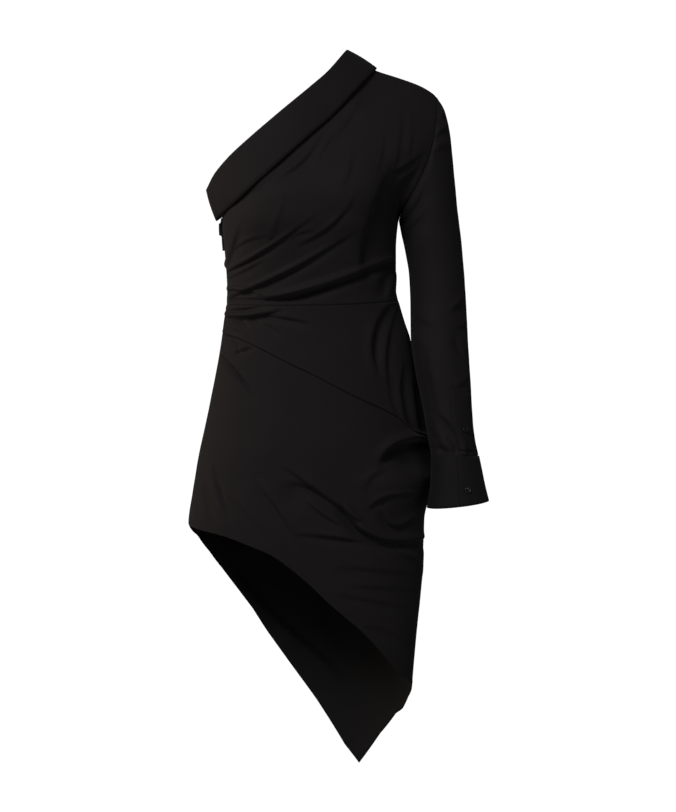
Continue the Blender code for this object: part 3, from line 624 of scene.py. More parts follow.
def crease_line(crease, x, drop):
    """Distance to a fold's line, the side of it from -1 to 1 (its left) and the share passed."""
    t = np.linspace(0, 1, LINE_STEPS + 1)
    first = (1 - t) * (1 - 2 * t)
    second = 4 * t * (1 - t)
    third = t * (2 * t - 1)
    line_x = first * crease.x0 + second * crease.x1 + third * crease.x2
    line_drop = first * crease.drop0 + second * crease.drop1 + third * crease.drop2
    step_x = np.diff(line_x)
    step_drop = np.diff(line_drop)
    from_x = x[..., None] - line_x[:-1]
    from_drop = drop[..., None] - line_drop[:-1]
    share = np.clip((from_x * step_x + from_drop * step_drop) / (step_x**2 + step_drop**2), 0, 1)
    off_x = from_x - share * step_x
    off_drop = from_drop - share * step_drop
    away = np.hypot(off_x, off_drop)
    turned = (step_drop * off_x - step_x * off_drop) / np.maximum(away * np.hypot(step_x, step_drop), 1e-6)
    nearest = np.argmin(away, axis=-1)[..., None]
    away, turned, share = [np.take_along_axis(v, nearest, -1)[..., 0] for v in (away, turned, share)]
    return away, turned, (share + nearest[..., 0]) / LINE_STEPS


def crease_depth(creases, x, drop):
    """How far the folds of a table push each point out, less than nothing in a trough."""
    out = np.zeros_like(x)
    for c in creases:
        away, turned, along = crease_line(c, x, drop)
        strength = c.head + (1 - c.head) * np.clip(along * HEAD_RISE, 0, 1) ** HEAD_ROUND
        strength = strength * (c.tail + (1 - c.tail) * np.clip((1 - along) * TAIL_FALL, 0, 1))
        width = c.width * (GENTLE_SIDE + (STEEP_SIDE - GENTLE_SIDE) * (turned + 1) / 2)
        trough = c.depth * np.exp(-((away / width) ** 2))
        beyond = away**2 * (1 - turned**2) / c.width**2
        from_lip = (away * turned - LIP_PLACE * c.width) / (LIP_WIDTH * c.width)
        out += strength * (c.lip * np.exp(-(from_lip**2) - beyond) - trough)
    return out


def ripple(x, drop):
    """Small unevenness of hanging cloth, of waves whose lengths never fall together."""
    wave = np.sin(x / 31 + np.sin(drop / 47) * 1.7) * np.sin(drop / 39 + np.sin(x / 53) * 2.1)
    small = np.sin(x / 13 + drop / 29 + 1.3 * np.sin(drop / 17)) * np.sin(drop / 23 - x / 37)
    return RIPPLE_HEIGHT * wave + SMALL_RIPPLE_HEIGHT * small


def rise(count, first, last, reach):
    """Factors that rise from nothing at the sewn ends of a row of points."""
    place = np.linspace(0, 1, count)
    factor = np.ones(count)
    if first:
        factor = factor * np.clip(place / reach, 0, 1)
    if last:
        factor = factor * np.clip((1 - place) / reach, 0, 1)
    return factor * factor * (3 - 2 * factor)


def draped(points, side, creases, bumps, top_dip=0.0, foot_dip=0.0, open_foot=False):
    """The form's points with folds, round places and ripples added, held still at the seams."""
    rows, columns = points.shape[:2]
    x = points[..., 0]
    drop = -points[..., 2]
    ease = rise(rows, True, not open_foot, SEAM_REACH)[:, None] * rise(columns, True, True, SIDE_REACH)
    out = (crease_depth(creases, x, drop) + bump_height(bumps, x, drop) + ripple(x, drop)) * ease
    out = out - top_dip * np.exp(-(((drop - drop[0]) / SEAM_WIDTH) ** 2))
    out = out - foot_dip * np.exp(-(((drop[-1] - drop) / SEAM_WIDTH) ** 2))
    return points + normals(points, side) * out[..., None]


def grid_mesh(name, points, closed=False):
    """Mesh of a grid of points, with a map of the cloth's width and length in metres for its weave."""
    rows, columns = points.shape[:2]
    wrapped = np.concatenate([points, points[:, :1]], axis=1) if closed else points
    across_step = np.linalg.norm(np.diff(wrapped, axis=1), axis=-1).mean(axis=0)
    down_step = np.linalg.norm(np.diff(points, axis=0), axis=-1).mean(axis=1)
    across = np.concatenate(([0], np.cumsum(across_step))) * MM
    down = np.concatenate(([0], np.cumsum(down_step))) * MM
    row, column = np.meshgrid(np.arange(rows - 1), np.arange(len(across_step)), indexing="ij")
    row, column = row.ravel(), column.ravel()
    after = (column + 1) % columns
    corners = [row * columns + column, (row + 1) * columns + column,
               (row + 1) * columns + after, row * columns + after]
    mesh = bpy.data.meshes.new(name)
    mesh.from_pydata((points.reshape(-1, 3) * MM).tolist(), [], np.stack(corners, axis=-1).tolist())
    mesh.polygons.foreach_set("use_smooth", np.ones(len(mesh.polygons), bool))
    u = np.stack([across[column], across[column], across[column + 1], across[column + 1]], axis=-1)
    v = np.stack([down[row], down[row + 1], down[row + 1], down[row]], axis=-1)
    cut = mesh.uv_layers.new(name="Cloth")
    cut.data.foreach_set("uv", np.stack([u, v], axis=-1).ravel())
    mesh.update()
    return mesh


def add_piece(name, mesh, material, nodes=()):
    """Puts a mesh into the scene as a piece of the dress in place of the nodes named."""
    item = bpy.data.objects.new(name, mesh)
    bpy.context.scene.collection.objects.link(item)
    mesh.materials.append(material)
    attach(item, "root")
    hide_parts(*nodes)
    return item


def cloth_piece(name, points, nodes, material, wall=WALL, closed=False, turned=False):
    """A piece of cloth of even thickness along a grid of points, darker on its inside, partly as painted shade.
    """
    item = add_piece(name, grid_mesh(name, points[:, ::-1] if turned else points, closed), material, nodes)
    item.data.materials.append(bpy.data.materials["dress_cotton_inside"])
    layer = item.modifiers.new("Wall", "SOLIDIFY")
    layer.thickness = wall * MM
    layer.offset = 0
    layer.material_offset = 1
    return item


def tube_grid(along, turn):
    """Every pair of the places along a tube and round it."""
    return np.meshgrid(along, turn, indexing="ij")


def lifted(points, turn, lift):
    """Points of a tube moved out from its middle."""
    outwards = np.stack([np.cos(turn), -np.sin(turn), 0 * turn], axis=-1)
    return points + outwards * lift[..., None]


def sleeve_cloth(along, turn):
    """Points of the sleeve with its folds, which the back of it repeats more softly."""
    points = sleeve_points(along, turn)
    ends = np.clip(along / SLEEVE_TOP_EASE, 0, 1) * np.clip((1 - along) / SLEEVE_FOOT_EASE, 0, 1)
    depth = crease_depth(SLEEVE_CREASES, points[..., 0], -points[..., 2])
    facing = np.sin(turn)
    seen = np.where(facing > 0, np.clip(facing * 3, 0, 1), np.clip(-facing * 3, 0, 1) * BACK_FOLD_SHARE)
    depth = depth * seen + ripple(points[..., 0] + 40 * facing, -points[..., 2])
    points[..., 2] -= np.clip(along - 1, 0, None) * SLEEVE_LENGTH
    tuck = np.clip((along - 1) * SLEEVE_LENGTH / SLEEVE_TUCK_REACH + 1, 0, 1)
    return lifted(points, turn, depth * ends - SLEEVE_TUCK * tuck * tuck * (3 - 2 * tuck))


def placket_cloth(along, turn):
    """Points of the strip laid on the sleeve's folds."""
    return lifted(sleeve_cloth(along, turn), turn, PLACKET_LIFT + 0 * turn)


def cuff_cloth(along, turn):
    """Points of the cuff, which winds outwards so that its end laps over its start."""
    first = math.radians(CUFF_START_DEGREES)
    last = math.radians(CUFF_END_DEGREES)
    wound = (turn - first) / (last - first) * CUFF_SPIRAL - CUFF_INSET
    points = lifted(ring_points(CUFF, along, turn), turn, wound)
    points[..., 2] -= CUFF_SAG * np.clip(np.sin(turn), 0, 1) * along**2
    return points


def collar_lines():
    """Lines of the folded collar from the neck seam up the stand, over the fold and down the fall."""
    rows = []
    for i, (r, n) in enumerate(zip(COLLAR, neckline())):
        rows.append(CollarLine(i, r.fold_x, r.fold_drop, -r.fold_y, r.edge_x, r.edge_drop, -r.edge_front,
                               n.x, n.drop))
    top = len(COLLAR) - 1
    for row, r in reversed(list(zip(rows[:-1], COLLAR))):
        rows.append(row._replace(along=2 * top - row.along, fold_y=r.fold_y, edge_y=r.edge_back))
    along = np.linspace(0, 2 * top, 2 * COLLAR_ROWS - 1)
    read = {column: read_table(rows, "along", column, along) for column in CollarLine._fields}
    fold = np.stack([read["fold_x"], read["fold_y"], -read["fold_drop"]], axis=-1)
    edge = np.stack([read["edge_x"], read["edge_y"], -read["edge_drop"]], axis=-1)
    neck_angle = angle_at(read["neck_x"], read["neck_drop"])
    front = on_form(neck_angle, read["neck_drop"], FRONT)
    back = on_form(neck_angle, read["neck_drop"], BACK)
    base = np.where((along <= top)[:, None], front, back)
    base[COLLAR_ROWS - 1, 1] = 0.0
    fall = unit(edge - fold)
    out = unit(np.cross(fall, np.gradient(fold, axis=0)))
    centre = fold + fall * COLLAR_FOLD_RADIUS
    low = base - unit(base - centre) * STAND_GAP
    stand = centre - out * COLLAR_FOLD_RADIUS - low
    lines = [low + stand * share for share in np.linspace(0, 1, COLLAR_STAND_LINES)]
    for turn in np.radians(COLLAR_FOLD_DEGREES):
        lines.append(centre + (out * math.cos(turn) - fall * math.sin(turn)) * COLLAR_FOLD_RADIUS)
    fall_top = centre + out * COLLAR_FOLD_RADIUS
    for share in np.linspace(0, 1, COLLAR_FALL_LINES):
        puff = COLLAR_PUFF * math.sin(math.pi * share)
        lines.append(fall_top + (edge - fall_top) * share + out * puff)
    return np.stack(lines, axis=0)


def unit(vector):
    """The vector made one long."""
    return vector / np.maximum(np.linalg.norm(vector, axis=-1, keepdims=True), 1e-9)


def front_bodice_points():
    """Grid of the bodice's front with its folds."""
    points = bodice_points(FRONT_BODICE_GRID, FRONT)
    return draped(points, FRONT, BODICE_CREASES, FRONT_BUMPS, foot_dip=WAIST_DIP)


def back_bodice_points():
    """Grid of the bodice's back with its folds."""
    points = bodice_points(BACK_BODICE_GRID, BACK)
    return draped(points, BACK, BACK_BODICE_CREASES, BACK_BUMPS, foot_dip=WAIST_DIP)


def front_wrap_points():
    """Grid of the panel between the waist and the slanting seam with its folds."""
    points = band_points(FRONT_WRAP_GRID, FRONT, FRONT_WAIST, DIAGONAL_SEAM)
    return draped(points, FRONT, WRAP_CREASES, FRONT_BUMPS, WAIST_DIP, WRAP_FOOT_DIP)


def front_skirt_points():
    """Grid of the skirt's front with its folds and pouch, free at the hem."""
    points = band_points(FRONT_SKIRT_GRID, FRONT, DIAGONAL_SEAM, FRONT_HEM)
    return draped(points, FRONT, SKIRT_CREASES, FRONT_BUMPS, DIAGONAL_DIP, open_foot=True)


def back_skirt_points():
    """Grid of the skirt's back with its folds, free at the pointed hem."""
    tip = max(BACK_HEM, key=lambda e: e.drop)
    points = band_points(BACK_SKIRT_GRID, BACK, FRONT_WAIST, BACK_HEM, tip)
    return draped(points, BACK, BACK_SKIRT_CREASES, BACK_BUMPS, WAIST_DIP, open_foot=True)


def cuff_points():
    """Grid of the cuff."""
    turn = np.radians(np.linspace(CUFF_START_DEGREES, CUFF_END_DEGREES, CUFF_GRID.across))
    return cuff_cloth(*tube_grid(np.linspace(0, 1, CUFF_GRID.down), turn))


def placket_points():
    """Grid of the strip over the sleeve's slit."""
    along = np.linspace(PLACKET_TOP, PLACKET_FOOT, PLACKET_GRID.down)
    turn = np.radians(np.linspace(PLACKET_START_DEGREES, PLACKET_END_DEGREES, PLACKET_GRID.across))
    return placket_cloth(*tube_grid(along, turn))


def raised(points, side, lift):
    """A grid of points moved out along its normals, where the stitches lie."""
    return points + normals(points, side) * lift


def inset_line(points, inset):
    """Line on a grid that runs beside its last row, at a distance from it."""
    turned = points[::-1]
    step = np.linalg.norm(np.diff(turned, axis=0), axis=-1)
    length = np.vstack([np.zeros(points.shape[1]), np.cumsum(step, axis=0)])
    return np.array([[np.interp(inset, length[:, column], turned[:, column, axis]) for axis in range(3)]
                     for column in range(points.shape[1])])


def stitch_mesh(name, runs, pitch, length, radius):
    """Stitches along runs of points, each a short round thread with tapered ends."""
    circle = [2 * math.pi * s / STITCH_SIDES for s in range(STITCH_SIDES)]
    rings = len(STITCH_RINGS)
    vertices = []
    faces = []
    for run in runs:
        passed = np.concatenate(([0], np.cumsum(np.linalg.norm(np.diff(run, axis=0), axis=-1))))
        for at in np.arange(pitch / 2, passed[-1], pitch):
            start, end = [Vector([np.interp(s, passed, run[:, k]) for k in range(3)])
                          for s in (at - length / 2, at + length / 2)]
            turn = (end - start).normalized().to_track_quat("X", "Z")
            first = len(vertices)
            for place, share in STITCH_RINGS:
                for a in circle:
                    local = Vector((place * length, radius * share * math.cos(a), radius * share * math.sin(a)))
                    vertices.append(((start + end) / 2 + turn @ local) * MM)
            faces += tube_faces(first, rings, STITCH_SIDES)
            faces.append(tuple(first + s for s in reversed(range(STITCH_SIDES))))
            faces.append(tuple(first + (rings - 1) * STITCH_SIDES + s for s in range(STITCH_SIDES)))
    mesh = bpy.data.meshes.new(name)
    mesh.from_pydata(vertices, [], faces)
    mesh.polygons.foreach_set("use_smooth", np.ones(len(mesh.polygons), bool))
    return mesh


def tube_faces(first, rings, sides):
    """Faces between rings of points that follow each other, from the first point's number."""
    faces = []
    for a in range(first, first + (rings - 1) * sides, sides):
        for s in range(sides):
            n = (s + 1) % sides
            faces.append((a + s, a + n, a + sides + n, a + sides + s))
    return faces


def tube_place(points_of, along, degrees, lift):
    """Place of a button on a tube's cloth, its own Z axis standing out from the cloth."""
    around = np.array([-SLOPE_STEP, 0, SLOPE_STEP])
    grid = points_of(*tube_grid(along + around, math.radians(degrees) + around))
    up = Vector(np.cross(grid[1, 2] - grid[1, 0], grid[2, 1] - grid[0, 1])).normalized()
    if up.y > 0:
        up = -up
    middle = (Vector(grid[1, 1]) + up * (lift + BUTTON_GAP)) * MM
    return Matrix.Translation(middle) @ up.to_track_quat("Z", "Y").to_matrix().to_4x4()


def button_profile():
    """Outline of a button from the middle of its dished face over its rounded rim to its back."""
    dish = [(BUTTON_DISH_RADIUS * s, BUTTON_HEIGHT - BUTTON_DISH_DEPTH * (1 - s**4))
            for s in np.linspace(BUTTON_FIRST_RING, 1, BUTTON_DISH_RINGS)]
    rim_radius = (BUTTON_RADIUS - BUTTON_DISH_RADIUS) / 2
    rim = [(BUTTON_RADIUS - rim_radius + rim_radius * math.cos(a),
            BUTTON_HEIGHT + rim_radius * (math.sin(a) - BUTTON_RIM_SINK))
           for a in np.radians(np.linspace(BUTTON_RIM_DEGREES, 0, BUTTON_RIM_RINGS))]
    return dish[:-1] + rim + BUTTON_BACK


def button_mesh(name):
    """Round button turned from its outline, with its thread holes bored through."""
    profile = button_profile()
    turns = [2 * math.pi * s / BUTTON_SIDES for s in range(BUTTON_SIDES)]
    vertices = [Vector((r * math.cos(a), r * math.sin(a), z)) * MM for r, z in profile for a in turns]
    faces = []
    for ring in range(len(profile) - 1):
        for s in range(BUTTON_SIDES):
            a = ring * BUTTON_SIDES
            n = (s + 1) % BUTTON_SIDES
            faces.append((a + s, a + BUTTON_SIDES + s, a + BUTTON_SIDES + n, a + n))
    faces.append(tuple(range(BUTTON_SIDES)))
    faces.append(tuple(reversed(range((len(profile) - 1) * BUTTON_SIDES, len(profile) * BUTTON_SIDES))))
    mesh = bpy.data.meshes.new(name + "_blank")
    mesh.from_pydata(vertices, [], faces)
    mesh.update()
    blank = bpy.data.objects.new(name + "_blank", mesh)
    bpy.context.scene.collection.objects.link(blank)
    drills = [drill(blank, hole) for hole in button_holes()]
    bored = bpy.data.meshes.new_from_object(blank.evaluated_get(bpy.context.evaluated_depsgraph_get()))
    bored.name = name
    bored.polygons.foreach_set("use_smooth", np.ones(len(bored.polygons), bool))
    bored.set_sharp_from_angle(angle=math.radians(BUTTON_SHARP_DEGREES))
    bored.materials.clear()
    for item in [blank, *drills]:
        bpy.data.objects.remove(item)
    return bored


def button_holes():
    """Middles of a button's thread holes."""
    turns = [2 * math.pi * (i + 0.5) / BUTTON_HOLES for i in range(BUTTON_HOLES)]
    return [Vector((BUTTON_HOLE_OFFSET * math.cos(a), BUTTON_HOLE_OFFSET * math.sin(a), 0)) for a in turns]


def drill(blank, middle):
    """Bores one round hole through a button."""
    form = bmesh.new()
    bmesh.ops.create_cone(form, cap_ends=True, segments=BUTTON_DRILL_SIDES, radius1=BUTTON_HOLE_RADIUS * MM,
                          radius2=BUTTON_HOLE_RADIUS * MM, depth=4 * BUTTON_HEIGHT * MM,
                          matrix=Matrix.Translation(middle * MM))
    mesh = bpy.data.meshes.new("drill")
    form.to_mesh(mesh)
    form.free()
    item = bpy.data.objects.new("drill", mesh)
    bpy.context.scene.collection.objects.link(item)
    cut = blank.modifiers.new("Hole", "BOOLEAN")
    cut.operation = "DIFFERENCE"
    cut.solver = "EXACT"
    cut.object = item
    return item


def button_thread(name):
    """Two crossing threads over a button's face, from hole to hole."""
    holes = button_holes()
    top = BUTTON_HEIGHT - BUTTON_DISH_DEPTH + BUTTON_THREAD_RADIUS
    runs = []
    for i in range(BUTTON_HOLES // 2):
        lift = Vector((0, 0, top + 2 * i * BUTTON_THREAD_RADIUS))
        runs.append(np.array([holes[i] + lift, holes[i + BUTTON_HOLES // 2] + lift]))
    length = 2 * BUTTON_HOLE_OFFSET
    return stitch_mesh(name, runs, length, length, BUTTON_THREAD_RADIUS)


def socket(group, name, way, default=None):
    """A named number socket of a node group."""
    made = group.interface.new_socket(name=name, in_out=way, socket_type="NodeSocketFloat")
    if default is not None:
        made.default_value = default


def maths(tree, operation, first, second):
    """A maths node whose inputs are links or numbers."""
    node = tree.nodes.new("ShaderNodeMath")
    node.operation = operation
    for place, value in enumerate((first, second)):
        if isinstance(value, (int, float)):
            node.inputs[place].default_value = value
        else:
            tree.links.new(value, node.inputs[place])
    return node.outputs[0]


def set_inputs(node, values):
    """Sets a node's inputs to the values given by their names."""
    for name, value in values.items():
        node.inputs[name].default_value = value


def noise(tree, vector, scale, detail, roughness=0.5):
    """A noise texture read at a vector."""
    node = tree.nodes.new("ShaderNodeTexNoise")
    set_inputs(node, {"Scale": scale, "Detail": detail, "Roughness": roughness})
    tree.links.new(vector, node.inputs["Vector"])
    return node.outputs["Fac"]


def mapped(tree, vector, scale, rotation=(0, 0, 0)):
    """A vector stretched and turned."""
    node = tree.nodes.new("ShaderNodeMapping")
    set_inputs(node, {"Scale": scale, "Rotation": rotation})
    tree.links.new(vector, node.inputs["Vector"])
    return node.outputs["Vector"]


def tinted(tree, colour, shade):
    """A colour made lighter or darker by a number."""
    node = tree.nodes.new("ShaderNodeVectorMath")
    node.operation = "SCALE"
    node.inputs[0].default_value = colour
    tree.links.new(shade, node.inputs["Scale"])
    return node.outputs["Vector"]


def bumped(tree, height, strength, distance, normal=None):
    """A normal that follows a height, on top of another normal where one is given."""
    node = tree.nodes.new("ShaderNodeBump")
    set_inputs(node, {"Strength": strength, "Distance": distance})
    tree.links.new(height, node.inputs["Height"])
    if normal is not None:
        tree.links.new(normal, node.inputs["Normal"])
    return node.outputs["Normal"]


def object_place(tree):
    """Place of the point shaded in its object's own metres."""
    return tree.nodes.new("ShaderNodeTexCoord").outputs["Object"]


def new_material(name, values):
    """A material whose Principled shader has some inputs set, with its tree and shader."""
    material = bpy.data.materials.new(name)
    material.use_nodes = True
    tree = material.node_tree
    shader = tree.nodes["Principled BSDF"]
    set_inputs(shader, values)
    return material, tree, shader


def link_look(tree, shader, colour, roughness, normal):
    """Links a colour, a roughness and a normal to a shader."""
    tree.links.new(colour, shader.inputs["Base Color"])
    tree.links.new(roughness, shader.inputs["Roughness"])
    tree.links.new(normal, shader.inputs["Normal"])


def weave_group():
    """Plain weave with uneven yarns: its height, how bright each yarn is and how rough."""
    group = bpy.data.node_groups.new("Dress shirting weave", "ShaderNodeTree")
    socket(group, "Yarn pitch", "INPUT", 0.00045)
    socket(group, "Slub", "INPUT", 0.35)
    socket(group, "Height", "OUTPUT")
    socket(group, "Shade", "OUTPUT")
    socket(group, "Fuzz", "OUTPUT")
    inside = group.nodes.new("NodeGroupInput")
    outside = group.nodes.new("NodeGroupOutput")
    cut = group.nodes.new("ShaderNodeUVMap")
    cut.uv_map = "Cloth"
    split = group.nodes.new("ShaderNodeSeparateXYZ")
    group.links.new(cut.outputs["UV"], split.inputs["Vector"])
    turns = maths(group, "DIVIDE", math.pi, inside.outputs["Yarn pitch"])
    weft = maths(group, "SINE", maths(group, "MULTIPLY", split.outputs["X"], turns), 0)
    warp = maths(group, "SINE", maths(group, "MULTIPLY", split.outputs["Y"], turns), 0)
    crossing = maths(group, "MULTIPLY", weft, warp)
    warp_slub = noise(group, mapped(group, cut.outputs["UV"], (900, 40, 1)), 1.0, 2)
    weft_slub = noise(group, mapped(group, cut.outputs["UV"], (40, 900, 1)), 1.0, 2)
    slub = maths(group, "SUBTRACT", maths(group, "ADD", warp_slub, weft_slub), 1.0)
    slub = maths(group, "MULTIPLY", slub, inside.outputs["Slub"])
    height = maths(group, "ADD", maths(group, "MULTIPLY", crossing, 0.5), slub)
    group.links.new(height, outside.inputs["Height"])
    group.links.new(maths(group, "ADD", maths(group, "MULTIPLY", slub, 1.4), 1.0), outside.inputs["Shade"])
    group.links.new(maths(group, "MULTIPLY", slub, 0.25), outside.inputs["Fuzz"])
    return group


def wear_group():
    """Softly uneven dye and the small creases of a worn dress, in the object's own metres."""
    group = bpy.data.node_groups.new("Dress wear", "ShaderNodeTree")
    socket(group, "Crease size", "INPUT", 16.0)
    socket(group, "Dye change", "INPUT", 0.3)
    socket(group, "Crease height", "OUTPUT")
    socket(group, "Shade", "OUTPUT")
    inside = group.nodes.new("NodeGroupInput")
    outside = group.nodes.new("NodeGroupOutput")
    place = object_place(group)
    slant = mapped(group, place, (0.45, 1, 1.3), (0, math.radians(-32), 0))
    creases = noise(group, slant, 16.0, 3, 0.45)
    group.links.new(inside.outputs["Crease size"], creases.node.inputs["Scale"])
    small = noise(group, slant, 70.0, 2)
    height = maths(group, "ADD", creases, maths(group, "MULTIPLY", small, 0.16))
    group.links.new(height, outside.inputs["Crease height"])
    clouds = maths(group, "SUBTRACT", noise(group, place, 5.0, 3), 0.5)
    change = maths(group, "MULTIPLY", clouds, inside.outputs["Dye change"])
    group.links.new(maths(group, "ADD", change, 1.0), outside.inputs["Shade"])
    return group


def cloth_material(name, colour, crease_height, pitch):
    """Black cotton with its weave, its small creases and uneven dye."""
    values = {"Specular IOR Level": 0.25, "Sheen Weight": 0.04, "Sheen Roughness": 0.5}
    material, tree, shader = new_material(name, values)
    weave = tree.nodes.new("ShaderNodeGroup")
    weave.node_tree = bpy.data.node_groups["Dress shirting weave"]
    weave.inputs["Yarn pitch"].default_value = pitch
    wear = tree.nodes.new("ShaderNodeGroup")
    wear.node_tree = bpy.data.node_groups["Dress wear"]
    shade = maths(tree, "MULTIPLY", weave.outputs["Shade"], wear.outputs["Shade"])
    roughness = maths(tree, "ADD", weave.outputs["Fuzz"], 0.78)
    broad = bumped(tree, wear.outputs["Crease height"], 0.7, crease_height)
    fine = bumped(tree, weave.outputs["Height"], 0.35, 0.00012, broad)
    link_look(tree, shader, tinted(tree, colour[:3], shade), roughness, fine)
    material.diffuse_color = (*colour[:3], 1)
    return material


def thread_material():
    """Black sewing thread, twisted."""
    material, tree, shader = new_material("dress_thread", {"Specular IOR Level": 0.4})
    twist = noise(tree, object_place(tree), 2500.0, 1)
    roughness = maths(tree, "ADD", maths(tree, "MULTIPLY", twist, 0.3), 0.4)
    colour = tinted(tree, THREAD_COLOUR, maths(tree, "ADD", twist, 0.5))
    link_look(tree, shader, colour, roughness, bumped(tree, twist, 0.6, 0.00005))
    return material


def button_material():
    """Polished black resin with faint swirls and fine scratches."""
    values = {"Coat Weight": 0.2, "Coat Roughness": 0.12}
    material, tree, shader = new_material("dress_button_resin", values)
    place = object_place(tree)
    swirl = noise(tree, place, 260.0, 4, 0.6)
    scratch = noise(tree, place, 1900.0, 2, 0.7)
    roughness = maths(tree, "ADD", maths(tree, "MULTIPLY", scratch, 0.2), 0.12)
    colour = tinted(tree, BUTTON_COLOUR, maths(tree, "ADD", swirl, 0.5))
    link_look(tree, shader, colour, roughness, bumped(tree, scratch, 0.15, 0.00005))
    return material


def paper_material():
    """Backdrop paper, white to the camera and grey to the light so that it doesn't lighten the dress."""
    values = {"Base Color": (0.25, 0.25, 0.25, 1), "Roughness": 0.9,
              "Emission Strength": bpy.context.scene.dress_light.paper_glow}
    material, tree, shader = new_material("studio_paper", values)
    path = tree.nodes.new("ShaderNodeLightPath")
    tree.links.new(path.outputs["Is Camera Ray"], shader.inputs["Emission Color"])
    return material


def length_setting(name, description, default, precision=4):
    """A setting in metres."""
    return bpy.props.FloatProperty(name=name, description=description, default=default, unit="LENGTH",
                                   precision=precision)


def colour_setting(name, description, default):
    """A setting that is a colour."""
    return bpy.props.FloatVectorProperty(name=name, description=description, default=default,
                                         subtype="COLOR", min=0, max=1)


def power_setting(name, description, default):
    """A setting in watts."""
    return bpy.props.FloatProperty(name=name, description=description, default=default, unit="POWER")


class DressClothSettings(bpy.types.PropertyGroup):
    """Colours and thread sizes of the dress."""

    colour: colour_setting("Cloth", "Colour of the cotton's right side", (0.0110, 0.0088, 0.0100))
    # The wrong side's colour is darker than the right side's: partly the cotton's wrong side, partly painted
    # shade of the dress's inside
    wrong_side_and_shade_colour: colour_setting("Inside", "Colour of the cotton's wrong side", (0.0058, 0.0048, 0.0053))
    yarn_pitch: length_setting("Yarn pitch", "Distance between two yarns of the weave", 0.00045, 5)
    crease_height: length_setting("Small creases", "Height of the cloth's smallest creases", 0.0016)
    stitch_pitch: length_setting("Stitch pitch", "Distance from one stitch to the next", 0.0032)
    stitch_inset: length_setting("Stitch inset", "Distance of a row of stitches from the cloth's edge", 0.006)


class DressLightSettings(bpy.types.PropertyGroup):
    """Strengths of the studio light."""

    key_power: power_setting("Key light", "Power of the large light at the left of the camera", 78)
    fill_power: power_setting("Fill light", "Power of the light at the right of the camera", 22)
    rim_power: power_setting("Rim light", "Power of the warm light at the wearer's right side", 26)
    low_power: power_setting("Low light", "Power of the light that reaches in under the hem", 9)
    sky: bpy.props.FloatProperty(
        name="Room light", description="Strength of the even light from all round", default=0.05)
    paper_glow: bpy.props.FloatProperty(
        name="Backdrop glow", description="Light that the camera sees from the backdrop", default=1.0)


def cloth(name, doubled=False, shade=1.0):
    """The cotton of one piece; a doubled piece has fewer small creases, and a shade below one darkens its
    colour as painted shade.
    """
    look = bpy.context.scene.dress_cloth
    height = look.crease_height * (DOUBLED_CREASES if doubled else 1)
    colour = [part * shade for part in look.colour]
    return cloth_material("dress_cotton_" + name, colour, height, look.yarn_pitch)


def stitches(name, runs):
    """A row of stitches as a piece of its own."""
    look = bpy.context.scene.dress_cloth
    mesh = stitch_mesh(name, runs, look.stitch_pitch / MM, STITCH_LENGTH, STITCH_RADIUS)
    return add_piece(name, mesh, bpy.data.materials["dress_thread"])


class DRESS_OT_finishes(bpy.types.Operator):
    """Makes the finishes that several pieces share"""

    bl_idname = "dress.finishes"
    bl_label = "Shared finishes"

    def execute(self, context):
        weave_group()
        wear_group()
        thread_material()
        look = context.scene.dress_cloth
        # The inside's darker colour is partly painted shade
        cloth_material("dress_cotton_inside", look.wrong_side_and_shade_colour, look.crease_height, look.yarn_pitch)
        return {"FINISHED"}


class DRESS_OT_bodice(bpy.types.Operator):
    """Builds the front and the back of the bodice"""

    bl_idname = "dress.bodice"
    bl_label = "Bodice"

    def execute(self, context):
        front = cloth_piece("bodice_front_cloth", front_bodice_points(), ["front_bodice"],
                            cloth("bodice_front"))
        back = cloth_piece("bodice_back_cloth", back_bodice_points(), ["back_bodice"], cloth("bodice_back"),
                           turned=True)
        return {"FINISHED"}


class DRESS_OT_wrap(bpy.types.Operator):
    """Builds the panel of the front between the waist and the slanting seam"""

    bl_idname = "dress.wrap"
    bl_label = "Wrap panel"

    def execute(self, context):
        panel = cloth_piece("wrap_cloth", front_wrap_points(), ["front_wrap"], cloth("wrap"))
        return {"FINISHED"}


class DRESS_OT_skirt(bpy.types.Operator):
    """Builds the front and the back of the skirt and the stitches of their hems"""

    bl_idname = "dress.skirt"
    bl_label = "Skirt"

    def execute(self, context):
        inset = context.scene.dress_cloth.stitch_inset / MM
        front_points = front_skirt_points()
        front = cloth_piece("skirt_front_cloth", front_points, ["front_skirt"], cloth("skirt_front"))
        front_hem = stitches("skirt_front_hem_stitches",
                             [inset_line(raised(front_points, FRONT, STITCH_LIFT), inset)])
        back_points = back_skirt_points()
        back = cloth_piece("skirt_back_cloth", back_points, ["back_skirt"], cloth("skirt_back"), turned=True)
        back_hem = stitches("skirt_back_hem_stitches",
                            [inset_line(raised(back_points, BACK, STITCH_LIFT), inset)])
        return {"FINISHED"}


class DRESS_OT_collar(bpy.types.Operator):
    """Builds the folded collar with the stitches along its edge"""

    bl_idname = "dress.collar"
    bl_label = "Collar"

    def execute(self, context):
        points = collar_lines()
        collar = cloth_piece("collar_cloth", points, ["collar"], cloth("collar", doubled=True))
        edge = inset_line(raised(points, FRONT, STITCH_LIFT), context.scene.dress_cloth.stitch_inset / MM)
        row = stitches("collar_stitches", [edge])
        return {"FINISHED"}


class DRESS_OT_sleeve(bpy.types.Operator):
    """Builds the long sleeve"""

    bl_idname = "dress.sleeve"
    bl_label = "Sleeve"

    def execute(self, context):
        turn = np.arange(SLEEVE_GRID.across) * 2 * math.pi / SLEEVE_GRID.across
        foot = 1 + SLEEVE_TUCK_LENGTH / SLEEVE_LENGTH
        points = sleeve_cloth(*tube_grid(np.linspace(0, foot, SLEEVE_GRID.down), turn))
        sleeve = cloth_piece("sleeve_cloth", points, ["sleeve"], cloth("sleeve"), closed=True, turned=True)
        return {"FINISHED"}


